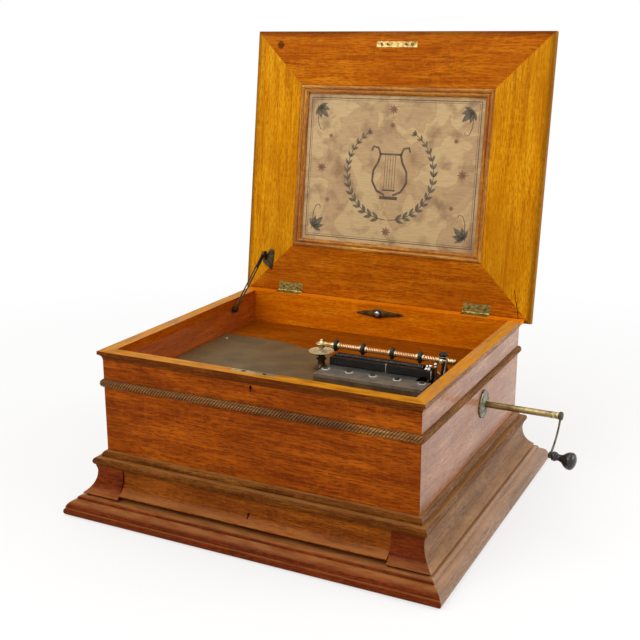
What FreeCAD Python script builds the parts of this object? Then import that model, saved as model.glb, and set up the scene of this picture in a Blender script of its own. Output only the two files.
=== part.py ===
import FreeCAD, Part
import math
import os

# A table disc music box: a moulded oak case with a disc drawer in its plinth, a mitred lid,
# and a wind-up movement that turns a metal disc under a pressure bar.
# X runs to the right, Y to the back and Z up. The origin is the middle of the underside.

Vector = FreeCAD.Vector
ALONG_X = Vector(1, 0, 0)
ALONG_Y = Vector(0, 1, 0)
UP = Vector(0, 0, 1)
SIDES = ("front", "right", "back", "left")

# Fits and gaps
running = 0.05         # radial clearance of a shaft in its bearing
seat = 0.3             # gap under a piece that rides on its seat
loose = 1.0            # gap round the drawer
lid_gap = 0.4          # between the closed lid and the rim
room = 1.0             # open space past a cut, or round a piece that turns

# Case
case_length = 541.0
case_depth = 472.0
wall = 16.0
plinth_height = 31.0
cove_height = 48.0
waist_height = 25.0
wall_height = 179.0    # from the top of the cove to the underside of the rim moulding
rim_height = 15.0
rim_lip = 6.5          # how far the rim moulding stands out from the wall
plinth_spread = 55.0   # how far the plinth stands out from the wall
cove_spread = 31.0
waist_spread = 18.5
cove_depth = 13.0      # the cove's nearest point to the wall face
bottom_thick = 9.0
deck_thick = 8.0
deck_drop = 61.0       # from the rim down to the deck
motor_board_thick = 12.0
motor_board_rise = 5.0  # above the top of the drawer opening
rope_drop = 54.0       # from the rim down to the middle of the rope moulding
rope_width = 14.0
rope_rise = 5.0

# Drawer
drawer_reveal = 8.0    # shadow gap below the drawer front
drawer_recess = 2.4    # drawer face behind the cove face
drawer_guide = 21.0    # between the drawer and the case wall
drawer_front_back = 4.0  # back of the drawer front, in from the wall face
drawer_side_thick = 12.0
drawer_back_thick = 10.0
drawer_bottom_thick = 5.0
drawer_bottom_rise = 2.0
drawer_side_height = 41.0
drawer_back_gap = 3.0
sill_gap = 4.0         # sill to the underside of the drawer sides
runner_width = 36.0
drawer_top_gap = 0.8   # drawer front to the waist moulding
drawer_back_lower = 2.0
drawer_lock_width = 44.0
drawer_lock_height = 24.0
drawer_lock_depth = 7.0
drawer_key_rise = 23.0  # above the plinth

# Lid
lid_thick = 20.0
lid_overhang_side = 11.0
lid_overhang_front = 6.0
lid_overhang_back = 10.7
lid_board = 98.0
lid_open = 97.6        # degrees from closed to resting on its stay
lid_rebate = 7.0       # panel behind the inner face of the frame
lid_panel_thick = 9.0
lid_field_rise = 3.0
lid_field_margin = 22.0
bead_width = 16.0
print_thick = 0.6
hinge_back = 2.0       # hinge line behind the rim's back edge
hinge_x = 188.6
hinge_length = 51.0
hinge_leaf = 17.0
hinge_thick = 1.6
knuckle_radius = 3.2
hinge_pin_radius = 1.5
knuckle_count = 5
catch_length = 79.0
catch_width = 10.0
catch_thick = 1.5
catch_hook_x = 18.0
catch_hook_drop = 10.0
catch_hook_width = 4.0
catch_hook_thick = 2.4
catch_hook_room = 1.4   # round a hook, inside the lock
catch_eye_radius = 1.2
catch_eye_rise = 3.0
lock_width = 56.0
lock_depth = 10.0
lock_height = 41.0
lock_plate_length = 76.0
key_drop = 20.0        # keyhole below the rim
keyhole_radius = 2.4
keyhole_slot = 7.0
keyhole_liner = 0.7

# Lid stay, on the left
stay_reach = 67.0      # lid pivot from the hinge line
stay_drop = 8.0        # lid pivot below the lid's inner face
stud_reach = 108.6     # wall stud in front of the hinge line
stud_drop = 18.6
stay_width = 9.0
stay_thick = 2.0
stay_from_wall = 4.5
stay_slot_start = 36.0
stay_slot_width = 5.4
stay_pin_radius = 2.0
stud_radius = 5.0
stay_arm_end = 3.0     # arm past the end of its slot
stay_cap_thick = 3.0
stay_plate = (-14.0, 24.0)  # bracket plate, from the pivot towards the hinge line
stay_plate_thick = 1.6
stay_ear = (-6.0, 14.0)
stay_ear_radius = 6.0
stay_rivet_head = 3.5
stay_rivet_thick = 1.5

# Movement, above the deck
bed_thick = 2.0
bed_front_gap = 6.0
bed_side_gap = 2.5
bed_right_gap = 26.5
bed_curve = ((10.0, 60.0), (-65.0, 85.0), (-140.0, 108.0))  # its back edge, behind the hub
post_radius = 6.0
post_flange = 13.0
post_flange_thick = 3.0
hub_radius = 21.5
hub_thick = 3.0
hub_height = 31.0      # top of the disc seat above the bed plate
spindle_radius = 3.0
spindle_length = 7.0
bar_height = 43.6      # bar's axis above the bed plate
bar_radius = 4.4
bar_pivot_in = 39.5    # bar's hinge from the right wall
bar_tail = 21.0
bar_start = 4.0
eye_wall = 2.0         # bush over the spindle
eye_gap = 5.0          # bush above the disc seat
eye_room = 0.6
eye_flange_radius = 10.0
eye_flange_thick = 2.0
eye_flange_drop = 0.6  # its underside below the bar's axis
finial_low_radius = 4.5
finial_top_radius = 1.6
finial_height = 6.0
cap_radius = 7.0
cap_height = 5.0
cap_stem_radius = 3.0
cap_stem_height = 8.0
bar_pin_radius = 2.0
roller_radius = 10.0
roller_width = 5.5
roller_places = (27.7, 76.7, 128.5, 176.7)
axle_height = 22.5     # star wheel axle above the bed plate
axle_radius = 1.5
star_radius = 8.5
star_points = 8
star_thick = 1.5
star_valley = 0.62     # of the star's radius
tooth_count = 44
last_tooth_in = 6.5    # last star wheel from the sprocket
first_tooth_x = 30.0
comb_left = 22.0
comb_right_in = 45.5   # comb from the right wall
comb_front = -74.0
comb_root = -36.0
comb_thick = 4.5
comb_tooth_thick = 1.8
comb_tooth_width = 1.9
comb_base_height = 11.5
pluck_gap = 0.7        # comb tips clear of the star wheels
comb_screw_count = 5
comb_screw_end = 12.0  # last screw in from the comb's right end
comb_screw_x = 30.0
comb_screw_y = -45.0
comb_screw_radius = 2.5
comb_washer_radius = 7.0
comb_washer_thick = 1.2
comb_head_radius = 4.5
comb_head_height = 3.0
comb_slot = 1.2
gantry_left = 24.5
gantry_right_in = 53.5
gantry_front = -19.0
gantry_back = 12.0
gantry_height = 28.5
gantry_left_end = 4.0
gantry_right_end = 2.5
gantry_room = 0.9      # round the star wheels
gantry_tooth_room = 1.5
bearing_thick = 1.2
bracket_width = 10.0
bracket_ear = 4.0
bracket_gap = 0.8      # beside the bar
bracket_foot = 14.0
bracket_toe = 6.0
bracket_flare = 5.0

# Motor, below the deck
crank_y = 41.0
crank_z = 181.0
crank_radius = 5.2
crank_reach = 123.5    # shaft outside the case wall
crank_throw = 70.3
crank_boss_wall = 1.6
crank_boss_length = 6.0
crank_arm_width = 5.2
crank_arm_thick = 2.8
crank_arm_set = 1.5    # arm behind the end of its boss
crank_foot_radius = 5.0
crank_lean = 8.2       # degrees of the handle, away from the shaft
crank_pin_radius = 2.5
crank_pin_length = 28.0
crank_bore_length = 30.0
plate_radius = 23.0
plate_thick = 3.0
plate_dome = (14.0, 9.0)
shaft_room = 2.0
crank_angle = -140.2   # degrees of the arm, from +Y towards +Z
barrel_z = 154.0
barrel_radius = 38.0
barrel_wall = 2.0
barrel_left_in = 8.0
barrel_right_in = 30.0  # barrel from the right frame plate
barrel_core = 4.0      # arbor's thicker middle
spring_band = 0.9
spring_step = 3.2
spring_turns = 12
spring_side = 2.0
arbor_radius = 5.0
drive_arbor_radius = 3.0
governor_arbor_radius = 2.0
governor_y = -20.0
governor_x = 120.0
governor_disc = 14.0
governor_balls = 3
governor_disc_thick = 2.0
governor_hub_x = 146.0
governor_hub = 6.0
governor_ball_x = 136.0
governor_ball = 5.0
governor_ball_reach = 11.0
governor_spring = 1.2
governor_spring_reach = 5.0
frame_left = 96.0
frame_right_in = 54.5
frame_thick = 3.0
frame_front = -46.0
frame_back = 114.0
pillar_radius = 5.0
pillar_inset = 7.0
frame_gap = 0.5        # under the deck
winding_gap = 3.0      # winding wheel from the frame plate
winding_module = 1.5
winding_pinion_teeth = 14
winding_wheel_teeth = 32
great_module = 1.75
great_wheel_teeth = 52
great_pinion_teeth = 14
train_module = 1.25
train_wheel_teeth = 70
train_pinion_teeth = 14
gear_width = 6.0
wheel_less = 2.0       # how much narrower a wheel is than its pinion
backlash = 0.3
pressure_angle = 20.0
sprocket_teeth = 12
sprocket_radius = 9.8
sprocket_tooth = 2.2
sprocket_width = 3.0
sprocket_set = 4.5     # sprocket beside the drive wheel
sprocket_sleeve = 5.0
drive_wheel_set = 8.5  # drive wheel in from the right frame plate

# Turn button on the back wall
button_x = 8.0
button_z = 257.0
button_reach = 45.0
button_height = 12.0
button_thick = 2.5
button_shoulder = 8.0
button_knob_radius = 5.5
button_knob_height = 4.0

# Heights and half sizes worked out from the sizes above
half_x = case_length / 2
half_y = case_depth / 2
inner_x = half_x - wall
inner_y = half_y - wall
cove_top = plinth_height + cove_height
waist_top = cove_top + waist_height
bar_pivot_x = inner_x - bar_pivot_in
comb_right = inner_x - comb_right_in
comb_screw_pitch = (comb_right - comb_screw_end - comb_screw_x) / (comb_screw_count - 1)
gantry_right = inner_x - gantry_right_in
frame_right = inner_x - frame_right_in
barrel_left = frame_left + barrel_left_in
barrel_length = frame_right - barrel_right_in - barrel_left
wall_top = cove_top + wall_height
rim_top = wall_top + rim_height
deck_top = rim_top - deck_drop
deck_low = deck_top - deck_thick
motor_floor = cove_top + motor_board_rise + motor_board_thick
bed_top = deck_top + bed_thick
rope_z = rim_top - rope_drop
opening_half = inner_x - drawer_guide
hinge_y = half_y + rim_lip + hinge_back
hinge_z = rim_top + lid_gap / 2
lid_low = rim_top + lid_gap
lid_high = lid_low + lid_thick
lid_front = -(half_y + rim_lip + lid_overhang_front)
lid_back = half_y + rim_lip + lid_overhang_back
lid_middle = (lid_front + lid_back) / 2
lid_half_y = (lid_back - lid_front) / 2
lid_half_x = half_x + rim_lip + lid_overhang_side
axle_z = bed_top + axle_height
bar_z = bed_top + bar_height


def box(x0, x1, y0, y1, z0, z1):
    return Part.makeBox(x1 - x0, y1 - y0, z1 - z0, Vector(x0, y0, z0))


def round_x(x0, x1, y, z, radius):
    return Part.makeCylinder(radius, x1 - x0, Vector(x0, y, z), ALONG_X)


def round_y(y0, y1, x, z, radius):
    return Part.makeCylinder(radius, y1 - y0, Vector(x, y0, z), ALONG_Y)


def round_z(z0, z1, x, y, radius):
    return Part.makeCylinder(radius, z1 - z0, Vector(x, y, z0), UP)


def join(*shapes):
    return shapes[0].multiFuse(list(shapes[1:])).removeSplitter()


def save(name, *shapes):
    solids = [solid for shape in shapes for solid in shape.Solids]
    whole = solids[0] if len(solids) == 1 else Part.makeCompound(solids)
    whole.exportStep(f"parts/{name}.step")


def prism(points, direction):
    """A closed outline of points, swept along a direction."""
    return Part.Face(Part.makePolygon(points + points[:1])).extrude(direction)


def section(depth, start, *steps):
    """A closed face in the YZ plane, on the front side of a frame that is 2 x depth deep.

    A point is (distance out from the frame's line, height). A step is a point, or a pair of
    points for an arc through the first to the second.
    """
    def at(point):
        return Vector(0, -(depth + point[0]), point[1])
    edges = []
    here = start
    for step in steps + (start,):
        if isinstance(step[0], tuple):
            edges.append(Part.Arc(at(here), at(step[0]), at(step[1])).toShape())
            here = step[1]
        else:
            edges.append(Part.makeLine(at(here), at(step)))
            here = step
    return Part.Face(Part.Wire(edges))


def mitred(side, outline, half_long, half_deep):
    """One mitred length of a section that runs round a rectangle."""
    long, deep = (half_long, half_deep) if side in ("front", "back") else (half_deep, half_long)
    face = section(deep, *outline)
    reach = face.BoundBox
    ends = long - deep - reach.YMin
    bar = face.translated(Vector(-ends, 0, 0)).extrude(Vector(2 * ends, 0, 0))
    inner = long - deep - reach.YMax
    wedge = [Vector(-ends, reach.YMin, reach.ZMin), Vector(ends, reach.YMin, reach.ZMin),
             Vector(inner, reach.YMax, reach.ZMin), Vector(-inner, reach.YMax, reach.ZMin)]
    strip = bar.common(prism(wedge, Vector(0, 0, reach.ZLength)))
    strip.rotate(Vector(0, 0, 0), UP, 90 * SIDES.index(side))
    return strip


def keyhole(y0, y1, x, z):
    slot = box(x - keyhole_radius / 2, x + keyhole_radius / 2, y0, y1, z - keyhole_slot, z)
    return join(round_y(y0, y1, x, z, keyhole_radius), slot)


def gear_outline(teeth, module, tooth_at):
    """Involute teeth in the YZ plane about the origin, with one tooth at the angle tooth_at."""
    pitch = teeth * module / 2
    tip = pitch + 0.8 * module
    root = pitch - 1.1 * module
    base = pitch * math.cos(math.radians(pressure_angle))

    def involute(radius):
        angle = math.acos(min(1.0, base / radius))
        return math.tan(angle) - angle
    at_pitch = math.pi / (2 * teeth) - backlash / (2 * pitch)
    flank = []
    for radius in (max(base, root), pitch, tip):
        flank.append((radius, at_pitch + involute(pitch) - involute(radius)))
    flank.insert(0, (root, flank[0][1]))
    points = []
    for tooth in range(teeth):
        middle = math.radians(tooth_at) + 2 * math.pi * tooth / teeth
        for sign, side in ((-1, flank), (1, flank[::-1])):
            for radius, half in side:
                angle = middle + sign * half
                points.append(Vector(0, radius * math.cos(angle), radius * math.sin(angle)))
    tidy = [points[0]]
    for point in points[1:]:
        if point.distanceToPoint(tidy[-1]) > 0.001:
            tidy.append(point)
    return tidy


def gear(x0, x1, centre, teeth, module, tooth_at=0.0):
    wheel = prism(gear_outline(teeth, module, tooth_at), Vector(x1 - x0, 0, 0))
    wheel.translate(Vector(x0, centre[0], centre[1]))
    return wheel


def bearing_of(start, end):
    """Angle in degrees from one centre to another, from +Y towards +Z."""
    return math.degrees(math.atan2(end[1] - start[1], end[0] - start[0]))


def mesh_angle(start, end, start_teeth, start_tooth_at, end_teeth):
    """Where the second gear has a tooth, so that its gap meets the first gear's tooth."""
    line = bearing_of(start, end)
    ahead = (start_tooth_at - line) * start_teeth / end_teeth
    return line + 180 - ahead + 180 / end_teeth


def meeting(first, first_radius, second, second_radius, side):
    """The point at the given distances from two centres, on one side of their line."""
    gap = math.hypot(second[0] - first[0], second[1] - first[1])
    along = (first_radius ** 2 - second_radius ** 2 + gap ** 2) / (2 * gap)
    off = side * math.sqrt(first_radius ** 2 - along ** 2)
    ux = (second[0] - first[0]) / gap
    uy = (second[1] - first[1]) / gap
    return (first[0] + along * ux - off * uy, first[1] + along * uy + off * ux)


def pitch_distance(first_teeth, second_teeth, module):
    return (first_teeth + second_teeth) * module / 2


def open_lid(*shapes):
    """The lid's pieces are drawn closed and then swung up to where they rest."""
    for shape in shapes:
        shape.rotate(Vector(0, hinge_y, hinge_z), ALONG_X, -lid_open)
    return shapes


# Train centres as (y, z), all on arbors along X
crank_centre = (crank_y, crank_z)
winding_distance = pitch_distance(winding_pinion_teeth, winding_wheel_teeth, winding_module)
barrel_centre = (crank_y + math.sqrt(winding_distance ** 2 - (crank_z - barrel_z) ** 2), barrel_z)
axle_centre = (0.0, axle_z)
great_distance = pitch_distance(great_wheel_teeth, great_pinion_teeth, great_module)
train_distance = pitch_distance(train_wheel_teeth, train_pinion_teeth, train_module)
drive_centre = meeting(barrel_centre, great_distance, axle_centre, train_distance, 1)
governor_fall = math.sqrt(train_distance ** 2 - (drive_centre[0] - governor_y) ** 2)
governor_centre = (governor_y, drive_centre[1] - governor_fall)
drive_wheel_x = frame_right - drive_wheel_set
train_tip = train_wheel_teeth * train_module / 2 + train_module
slot_left = drive_wheel_x - 2 * room
slot_right = drive_wheel_x + gear_width
sprocket_x = drive_wheel_x - sprocket_set
tooth_pitch = (sprocket_x - last_tooth_in - first_tooth_x) / (tooth_count - 1)


def base_mouldings():
    """The moulded frames round the case, from profiles of (distance out, height)."""
    nose = plinth_height - 5.0
    plinth = ((-wall, 0), (-wall, plinth_height), (cove_spread + 1, plinth_height),
              ((cove_spread + 5.6, plinth_height - 1.4), (cove_spread + 7.3, nose)),
              (cove_spread + 6.0, nose - 0.6), (cove_spread + 8.3, nose - 1.4),
              ((plinth_spread - 7, 20.5), (plinth_spread - 2.6, 13.4)),
              (plinth_spread - 3.6, 12.6),
              ((plinth_spread, 6.5), (plinth_spread - 3.0, 0.6)), (plinth_spread - 4, 0))
    quirk = plinth_height + 3.2
    cove = ((-wall, plinth_height), (-wall, cove_top), (cove_depth + 1.5, cove_top),
            ((cove_depth - 0.2, cove_top - 6), (cove_depth, cove_top - 12)),
            ((cove_depth + 5.4, plinth_height + 18), (cove_spread, quirk + 1.3)),
            (cove_spread - 0.6, quirk), (cove_spread - 4.5, quirk),
            (cove_spread - 4.5, plinth_height))
    waist = ((0, cove_top), (0, waist_top), (1.5, waist_top),
             ((6.0, waist_top - 3), (7.3, waist_top - 8.2)), (7.3, waist_top - 10),
             (10, waist_top - 10),
             ((waist_spread, cove_top + 9.5), (waist_spread - 4, cove_top + 2.5)),
             (waist_spread - 4, cove_top))
    rim = ((-wall, wall_top), (-wall, rim_top), (rim_lip - 1, rim_top),
           ((rim_lip - 0.3, rim_top - 0.3), (rim_lip, rim_top - 1)), (rim_lip, rim_top - 6),
           ((rim_lip / 3, rim_top - 9), (0.4, wall_top + 0.6)), (0, wall_top))
    rope = ((0, rope_z - rope_width / 2),
            ((rope_rise, rope_z), (0, rope_z + rope_width / 2)))
    for side in SIDES:
        save(f"plinth_{side}", mitred(side, plinth, half_x, half_y))
    for side in SIDES[1:]:
        save(f"cove_board_{side}", mitred(side, cove, half_x, half_y))
    opening = box(-opening_half, opening_half, -2 * half_y, 0, 0, 2 * cove_top)
    save("cove_blocks_front", mitred("front", cove, half_x, half_y).cut(opening))
    save("waist_mouldings", *[mitred(side, waist, half_x, half_y) for side in SIDES])
    save("rope_mouldings", *[mitred(side, rope, half_x, half_y) for side in SIDES])
    rims = [mitred(side, rim, half_x, half_y) for side in SIDES]
    rims[0] = rims[0].cut(lock_pocket())
    rims[2] = rims[2].cut(hinge_pockets(-1))
    save("rim_mouldings", *rims)


def lock_pocket():
    y0 = -(inner_y + lock_depth)
    body = box(-lock_width / 2, lock_width / 2, y0, -inner_y, rim_top - lock_height, rim_top)
    plate = box(-lock_plate_length / 2, lock_plate_length / 2, y0, -inner_y,
                rim_top - catch_thick, rim_top)
    return join(body, plate)


def case_walls():
    board = ((-wall, cove_top), (-wall, wall_top), (0, wall_top), (0, cove_top))
    front = mitred("front", board, half_x, half_y).cut(lock_pocket())
    front = front.cut(keyhole(-half_y - 1, -inner_y, 0, rim_top - key_drop))
    right = mitred("right", board, half_x, half_y)
    right = right.cut(round_x(inner_x - 1, half_x + 1, crank_y, crank_z, crank_radius + shaft_room))
    save("case_front", front)
    save("case_right", right)
    save("case_back", mitred("back", board, half_x, half_y))
    save("case_left", mitred("left", board, half_x, half_y))
    save("bottom_board", box(-inner_x, inner_x, -inner_y, inner_y, 0, bottom_thick))
    save("motor_board", box(-inner_x, inner_x, -inner_y, inner_y,
                            motor_floor - motor_board_thick, motor_floor))
    deck = box(-inner_x, inner_x, -inner_y, inner_y, deck_low, deck_top)
    save("deck_board", deck.cut(wheel_slot()))


def wheel_slot():
    """The slot in the deck and bed plate that the drive wheel stands up through."""
    return box(slot_left, slot_right, drive_centre[0] - train_tip - 2 * room,
               drive_centre[0] + train_tip + 2 * room, deck_low - room, bed_top + room)


def case_lock():
    hooks = []
    for x in (-catch_hook_x, catch_hook_x):
        y = -(inner_y + lock_depth / 2)
        half_wide = catch_hook_width / 2 + catch_hook_room
        half_deep = catch_hook_thick / 2 + catch_hook_room
        hooks.append(box(x - half_wide, x + half_wide, y - half_deep, y + half_deep,
                         rim_top - catch_hook_drop - catch_hook_room, rim_top + room))
    lock = lock_pocket()
    for hook in hooks:
        lock = lock.cut(hook)
    rim_of_hole = round_y(-half_y, -(inner_y + lock_depth), 0, rim_top - key_drop, keyhole_radius)
    liner = rim_of_hole.cut(round_y(-half_y - 1, -inner_y, 0, rim_top - key_drop,
                                    keyhole_radius - keyhole_liner))
    save("case_lock", lock, liner)


def drawer():
    low = plinth_height + sill_gap
    front_low = plinth_height + drawer_reveal
    front_high = cove_top - drawer_top_gap
    back = -drawer_front_back
    face = cove_depth - drawer_recess
    lip = cove_spread - drawer_recess - 2
    outline = ((back, front_low), (back, front_high), (face + 1.2, front_high),
               ((face - 0.2, cove_top - 6), (face, cove_top - 12)),
               ((face + 5.4, plinth_height + 18.5), (lip - 0.4, front_low + 2.6)),
               ((lip + 0.9, front_low + 1.3), (lip, front_low)))
    half = opening_half - loose
    slab = section(half_y, *outline).translated(Vector(-half, 0, 0)).extrude(Vector(2 * half, 0, 0))
    back_y = -half_y + drawer_front_back
    lock_z = (front_low + front_high) / 2
    lock = box(-drawer_lock_width / 2, drawer_lock_width / 2, back_y - drawer_lock_depth, back_y,
               lock_z - drawer_lock_height / 2, lock_z + drawer_lock_height / 2)
    key = keyhole(-2 * half_y, back_y, 0, plinth_height + drawer_key_rise)
    save("drawer_front", slab.cut(lock).cut(key))
    save("drawer_lock", lock)
    inside = half - drawer_side_thick
    end = inner_y - drawer_back_gap
    high = low + drawer_side_height
    sides = [box(x0, x1, back_y, end, low, high)
             for x0, x1 in ((-half, -inside), (inside, half))]
    save("drawer_sides", *sides)
    save("drawer_back", box(-inside, inside, end - drawer_back_thick, end,
                            low, high - drawer_back_lower))
    floor_z = low + drawer_bottom_rise
    save("drawer_bottom", box(-inside, inside, back_y, end - drawer_back_thick,
                              floor_z, floor_z + drawer_bottom_thick))
    runners = []
    for sign in (-1, 1):
        rail = box(inner_x - runner_width, inner_x, -inner_y, inner_y, bottom_thick, low - seat)
        guide = box(opening_half, inner_x, -inner_y, inner_y, bottom_thick, high)
        runner = join(rail, guide)
        if sign < 0:
            runner.rotate(Vector(0, 0, 0), UP, 180)
        runners.append(runner)
    save("drawer_runners", *runners)


def knuckle_spans(centre_x, own):
    """The x spans of one leaf's knuckles: odd ones are on the lid's leaf, even on the case's."""
    step = hinge_length / knuckle_count
    start = centre_x - hinge_length / 2
    return [(start + step * n, start + step * (n + 1))
            for n in range(knuckle_count) if n % 2 == own]


def hinge_pockets(side):
    """Cuts for both hinges: side -1 in the rim below the hinge line, 1 in the lid above it."""
    cuts = []
    for x in (-hinge_x, hinge_x):
        x0 = x - hinge_length / 2
        x1 = x + hinge_length / 2
        z0, z1 = (rim_top - hinge_thick, rim_top + 1)
        if side > 0:
            z0, z1 = (lid_low - 1, lid_low + hinge_thick)
        cuts.append(box(x0, x1, hinge_y - hinge_leaf, hinge_y, z0, z1))
        cuts.append(round_x(x0, x1, hinge_y, hinge_z, knuckle_radius + seat))
    return Part.makeCompound(cuts)


def hinges():
    case_leaves = []
    lid_leaves = []
    for x in (-hinge_x, hinge_x):
        x0 = x - hinge_length / 2
        x1 = x + hinge_length / 2
        for own, leaves in ((0, case_leaves), (1, lid_leaves)):
            z0, z1 = (rim_top - hinge_thick, rim_top) if own == 0 else (lid_low, lid_low + hinge_thick)
            leaf = box(x0, x1, hinge_y - hinge_leaf, hinge_y, z0, z1)
            for a, b in knuckle_spans(x, 1 - own):
                leaf = leaf.cut(round_x(a - seat / 2, b + seat / 2, hinge_y, hinge_z,
                                        knuckle_radius + seat))
            for a, b in knuckle_spans(x, own):
                leaf = leaf.fuse(round_x(a + seat / 2, b - seat / 2, hinge_y, hinge_z,
                                         knuckle_radius))
            bore = hinge_pin_radius + (running if own else 0)
            leaves.append(leaf.cut(round_x(x0, x1, hinge_y, hinge_z, bore)).removeSplitter())
        case_leaves.append(round_x(x0, x1, hinge_y, hinge_z, hinge_pin_radius))
    save("hinge_case_leaves", *case_leaves)
    save("hinge_lid_leaves", *open_lid(*lid_leaves))


def lid():
    board = ((-lid_board, lid_low), (-lid_board, lid_high), (-6, lid_high),
             ((-1.8, lid_high - 1.8), (0, lid_high - 6)), (0, lid_low + 4),
             ((-1.2, lid_low + 1.2), (-4, lid_low)))
    names = {"front": "lid_front_rail", "right": "lid_right_stile",
             "back": "lid_back_rail", "left": "lid_left_stile"}
    cuts = {"front": catch_plate_pocket(), "back": hinge_pockets(1)}
    to_place = Vector(0, lid_middle, 0)
    for side in SIDES:
        piece = mitred(side, board, lid_half_x, lid_half_y).translated(to_place)
        if side in cuts:
            piece = piece.cut(cuts[side])
        save(names[side], *open_lid(piece))
    sight_x = lid_half_x - lid_board
    sight_y = lid_half_y - lid_board
    panel_low = lid_low + lid_rebate
    panel_high = panel_low + lid_panel_thick
    panel = box(-sight_x, sight_x, -sight_y, sight_y, panel_low, panel_high)
    margin_x = sight_x - lid_field_margin
    margin_y = sight_y - lid_field_margin
    field = box(-margin_x, margin_x, -margin_y, margin_y, panel_high, panel_high + lid_field_rise)
    save("lid_panel", *open_lid(join(panel, field).translated(to_place)))
    bead = ((0, panel_low), (0, lid_low + 1), ((-4, lid_low - 2.2), (-8, lid_low + 1)),
            ((-11.5, lid_low - 0.4), (-bead_width + 1, lid_low + 2.6)),
            (-bead_width, lid_low + 3.6), (-bead_width, panel_low))
    beads = [mitred(side, bead, sight_x, sight_y).translated(to_place) for side in SIDES]
    save("lid_bead_frame", *open_lid(*beads))
    sheet = box(-sight_x + bead_width, sight_x - bead_width, -sight_y + bead_width,
                sight_y - bead_width, panel_low - print_thick, panel_low)
    save("lid_print", *open_lid(sheet.translated(to_place)))
    hooks = []
    y = -(inner_y + lock_depth / 2)
    for x in (-catch_hook_x, catch_hook_x):
        hook = box(x - catch_hook_width / 2, x + catch_hook_width / 2,
                   y - catch_hook_thick / 2, y + catch_hook_thick / 2,
                   lid_low - catch_hook_drop, lid_low)
        eye = round_y(y - catch_hook_thick, y + catch_hook_thick, x,
                      lid_low - catch_hook_drop + catch_eye_rise, catch_eye_radius)
        hooks.append(hook.cut(eye))
    save("lid_catch_plate", *open_lid(join(catch_plate_pocket(), *hooks)))


def catch_plate_pocket():
    y = -(inner_y + lock_depth / 2)
    return box(-catch_length / 2, catch_length / 2, y - catch_width / 2, y + catch_width / 2,
               lid_low, lid_low + catch_thick)


def in_lid_frame(reach, drop):
    """A point on the open lid: reach up from the hinge line, drop out from the inner face."""
    turn = math.radians(-lid_open)
    y = -reach
    z = lid_low - hinge_z - drop
    return (hinge_y + y * math.cos(turn) - z * math.sin(turn),
            hinge_z + y * math.sin(turn) + z * math.cos(turn))


def lid_stay():
    arm_x0 = -inner_x + stay_from_wall
    arm_x1 = arm_x0 + stay_thick
    ear_x0 = arm_x1 + seat
    ear_x1 = ear_x0 + stay_thick
    pivot_y = hinge_y - stay_reach
    pivot_z = lid_low - stay_drop
    plate = box(arm_x0 - 3 * room, ear_x1 + 8 * room, pivot_y + stay_plate[0],
                pivot_y + stay_plate[1], lid_low - stay_plate_thick, lid_low)
    ear = box(ear_x0, ear_x1, pivot_y + stay_ear[0], pivot_y + stay_ear[1], pivot_z, lid_low)
    nose = round_x(ear_x0, ear_x1, pivot_y, pivot_z, stay_ear_radius)
    rivet = round_x(arm_x0 - seat, ear_x1, pivot_y, pivot_z, stay_pin_radius)
    head = round_x(arm_x0 - seat - stay_rivet_thick, arm_x0 - seat, pivot_y, pivot_z,
                   stay_rivet_head)
    save("stay_bracket", *open_lid(join(plate, ear, nose, rivet, head)))
    top = in_lid_frame(stay_reach, stay_drop)
    stud = (hinge_y - stud_reach, hinge_z - stud_drop)
    span = math.hypot(stud[0] - top[0], stud[1] - top[1])
    half = stay_width / 2
    slot_half = stay_slot_width / 2
    arm = join(box(arm_x0, arm_x1, 0, span + stay_arm_end, -half, half),
               round_x(arm_x0, arm_x1, 0, 0, half + room),
               round_x(arm_x0, arm_x1, span + stay_arm_end, 0, half))
    cut_x0 = arm_x0 - room
    cut_x1 = arm_x1 + room
    hole = round_x(cut_x0, cut_x1, 0, 0, stay_pin_radius + running)
    slot = join(box(cut_x0, cut_x1, stay_slot_start, span, -slot_half, slot_half),
                round_x(cut_x0, cut_x1, stay_slot_start, 0, slot_half),
                round_x(cut_x0, cut_x1, span, 0, slot_half))
    arm = arm.cut(hole).cut(slot)
    shank = round_x(arm_x0, arm_x1, span, 0, slot_half)
    cap = round_x(arm_x1, arm_x1 + stay_cap_thick, span, 0, stud_radius)
    screw = join(shank, cap)
    for piece in (arm, screw):
        piece.rotate(Vector(0, 0, 0), ALONG_X, bearing_of(top, stud))
        piece.translate(Vector(0, top[0], top[1]))
    save("stay_arm", arm, screw)
    save("stay_stud", round_x(-inner_x, arm_x0 - seat, stud[0], stud[1], stud_radius))


def movement():
    left = bed_side_gap - inner_x
    right = inner_x - bed_right_gap
    front = bed_front_gap - inner_y
    start, middle, end = [Vector(x, y, deck_top) for x, y in bed_curve]
    corners = [end, Vector(left, end.y, deck_top), Vector(left, front, deck_top),
               Vector(right, front, deck_top), Vector(right, start.y, deck_top), start]
    edges = [Part.makeLine(a, b) for a, b in zip(corners, corners[1:])]
    edges.append(Part.Arc(start, middle, end).toShape())
    bed = Part.Face(Part.Wire(edges)).extrude(Vector(0, 0, bed_thick))
    save("bed_plate", bed.cut(wheel_slot()))
    hub_z = bed_top + hub_height
    foot_z = bed_top + post_flange_thick
    save("centre_post", join(round_z(bed_top, foot_z, 0, 0, post_flange),
                             round_z(foot_z, hub_z - hub_thick, 0, 0, post_radius),
                             round_z(hub_z - hub_thick, hub_z, 0, 0, hub_radius),
                             round_z(hub_z, hub_z + spindle_length, 0, 0, spindle_radius)))
    comb_z = bed_top + comb_base_height
    save("comb_base", box(comb_left, comb_right, comb_front, comb_root, bed_top, comb_z))
    save("comb", comb(comb_z))
    save("comb_screws", *[comb_screw(comb_z, comb_screw_x + comb_screw_pitch * n)
                          for n in range(comb_screw_count)])
    save("gantry", gantry(), round_x(gantry_left, gantry_right, 0, axle_z, axle_radius))
    save("star_wheels", *star_wheels())


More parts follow.
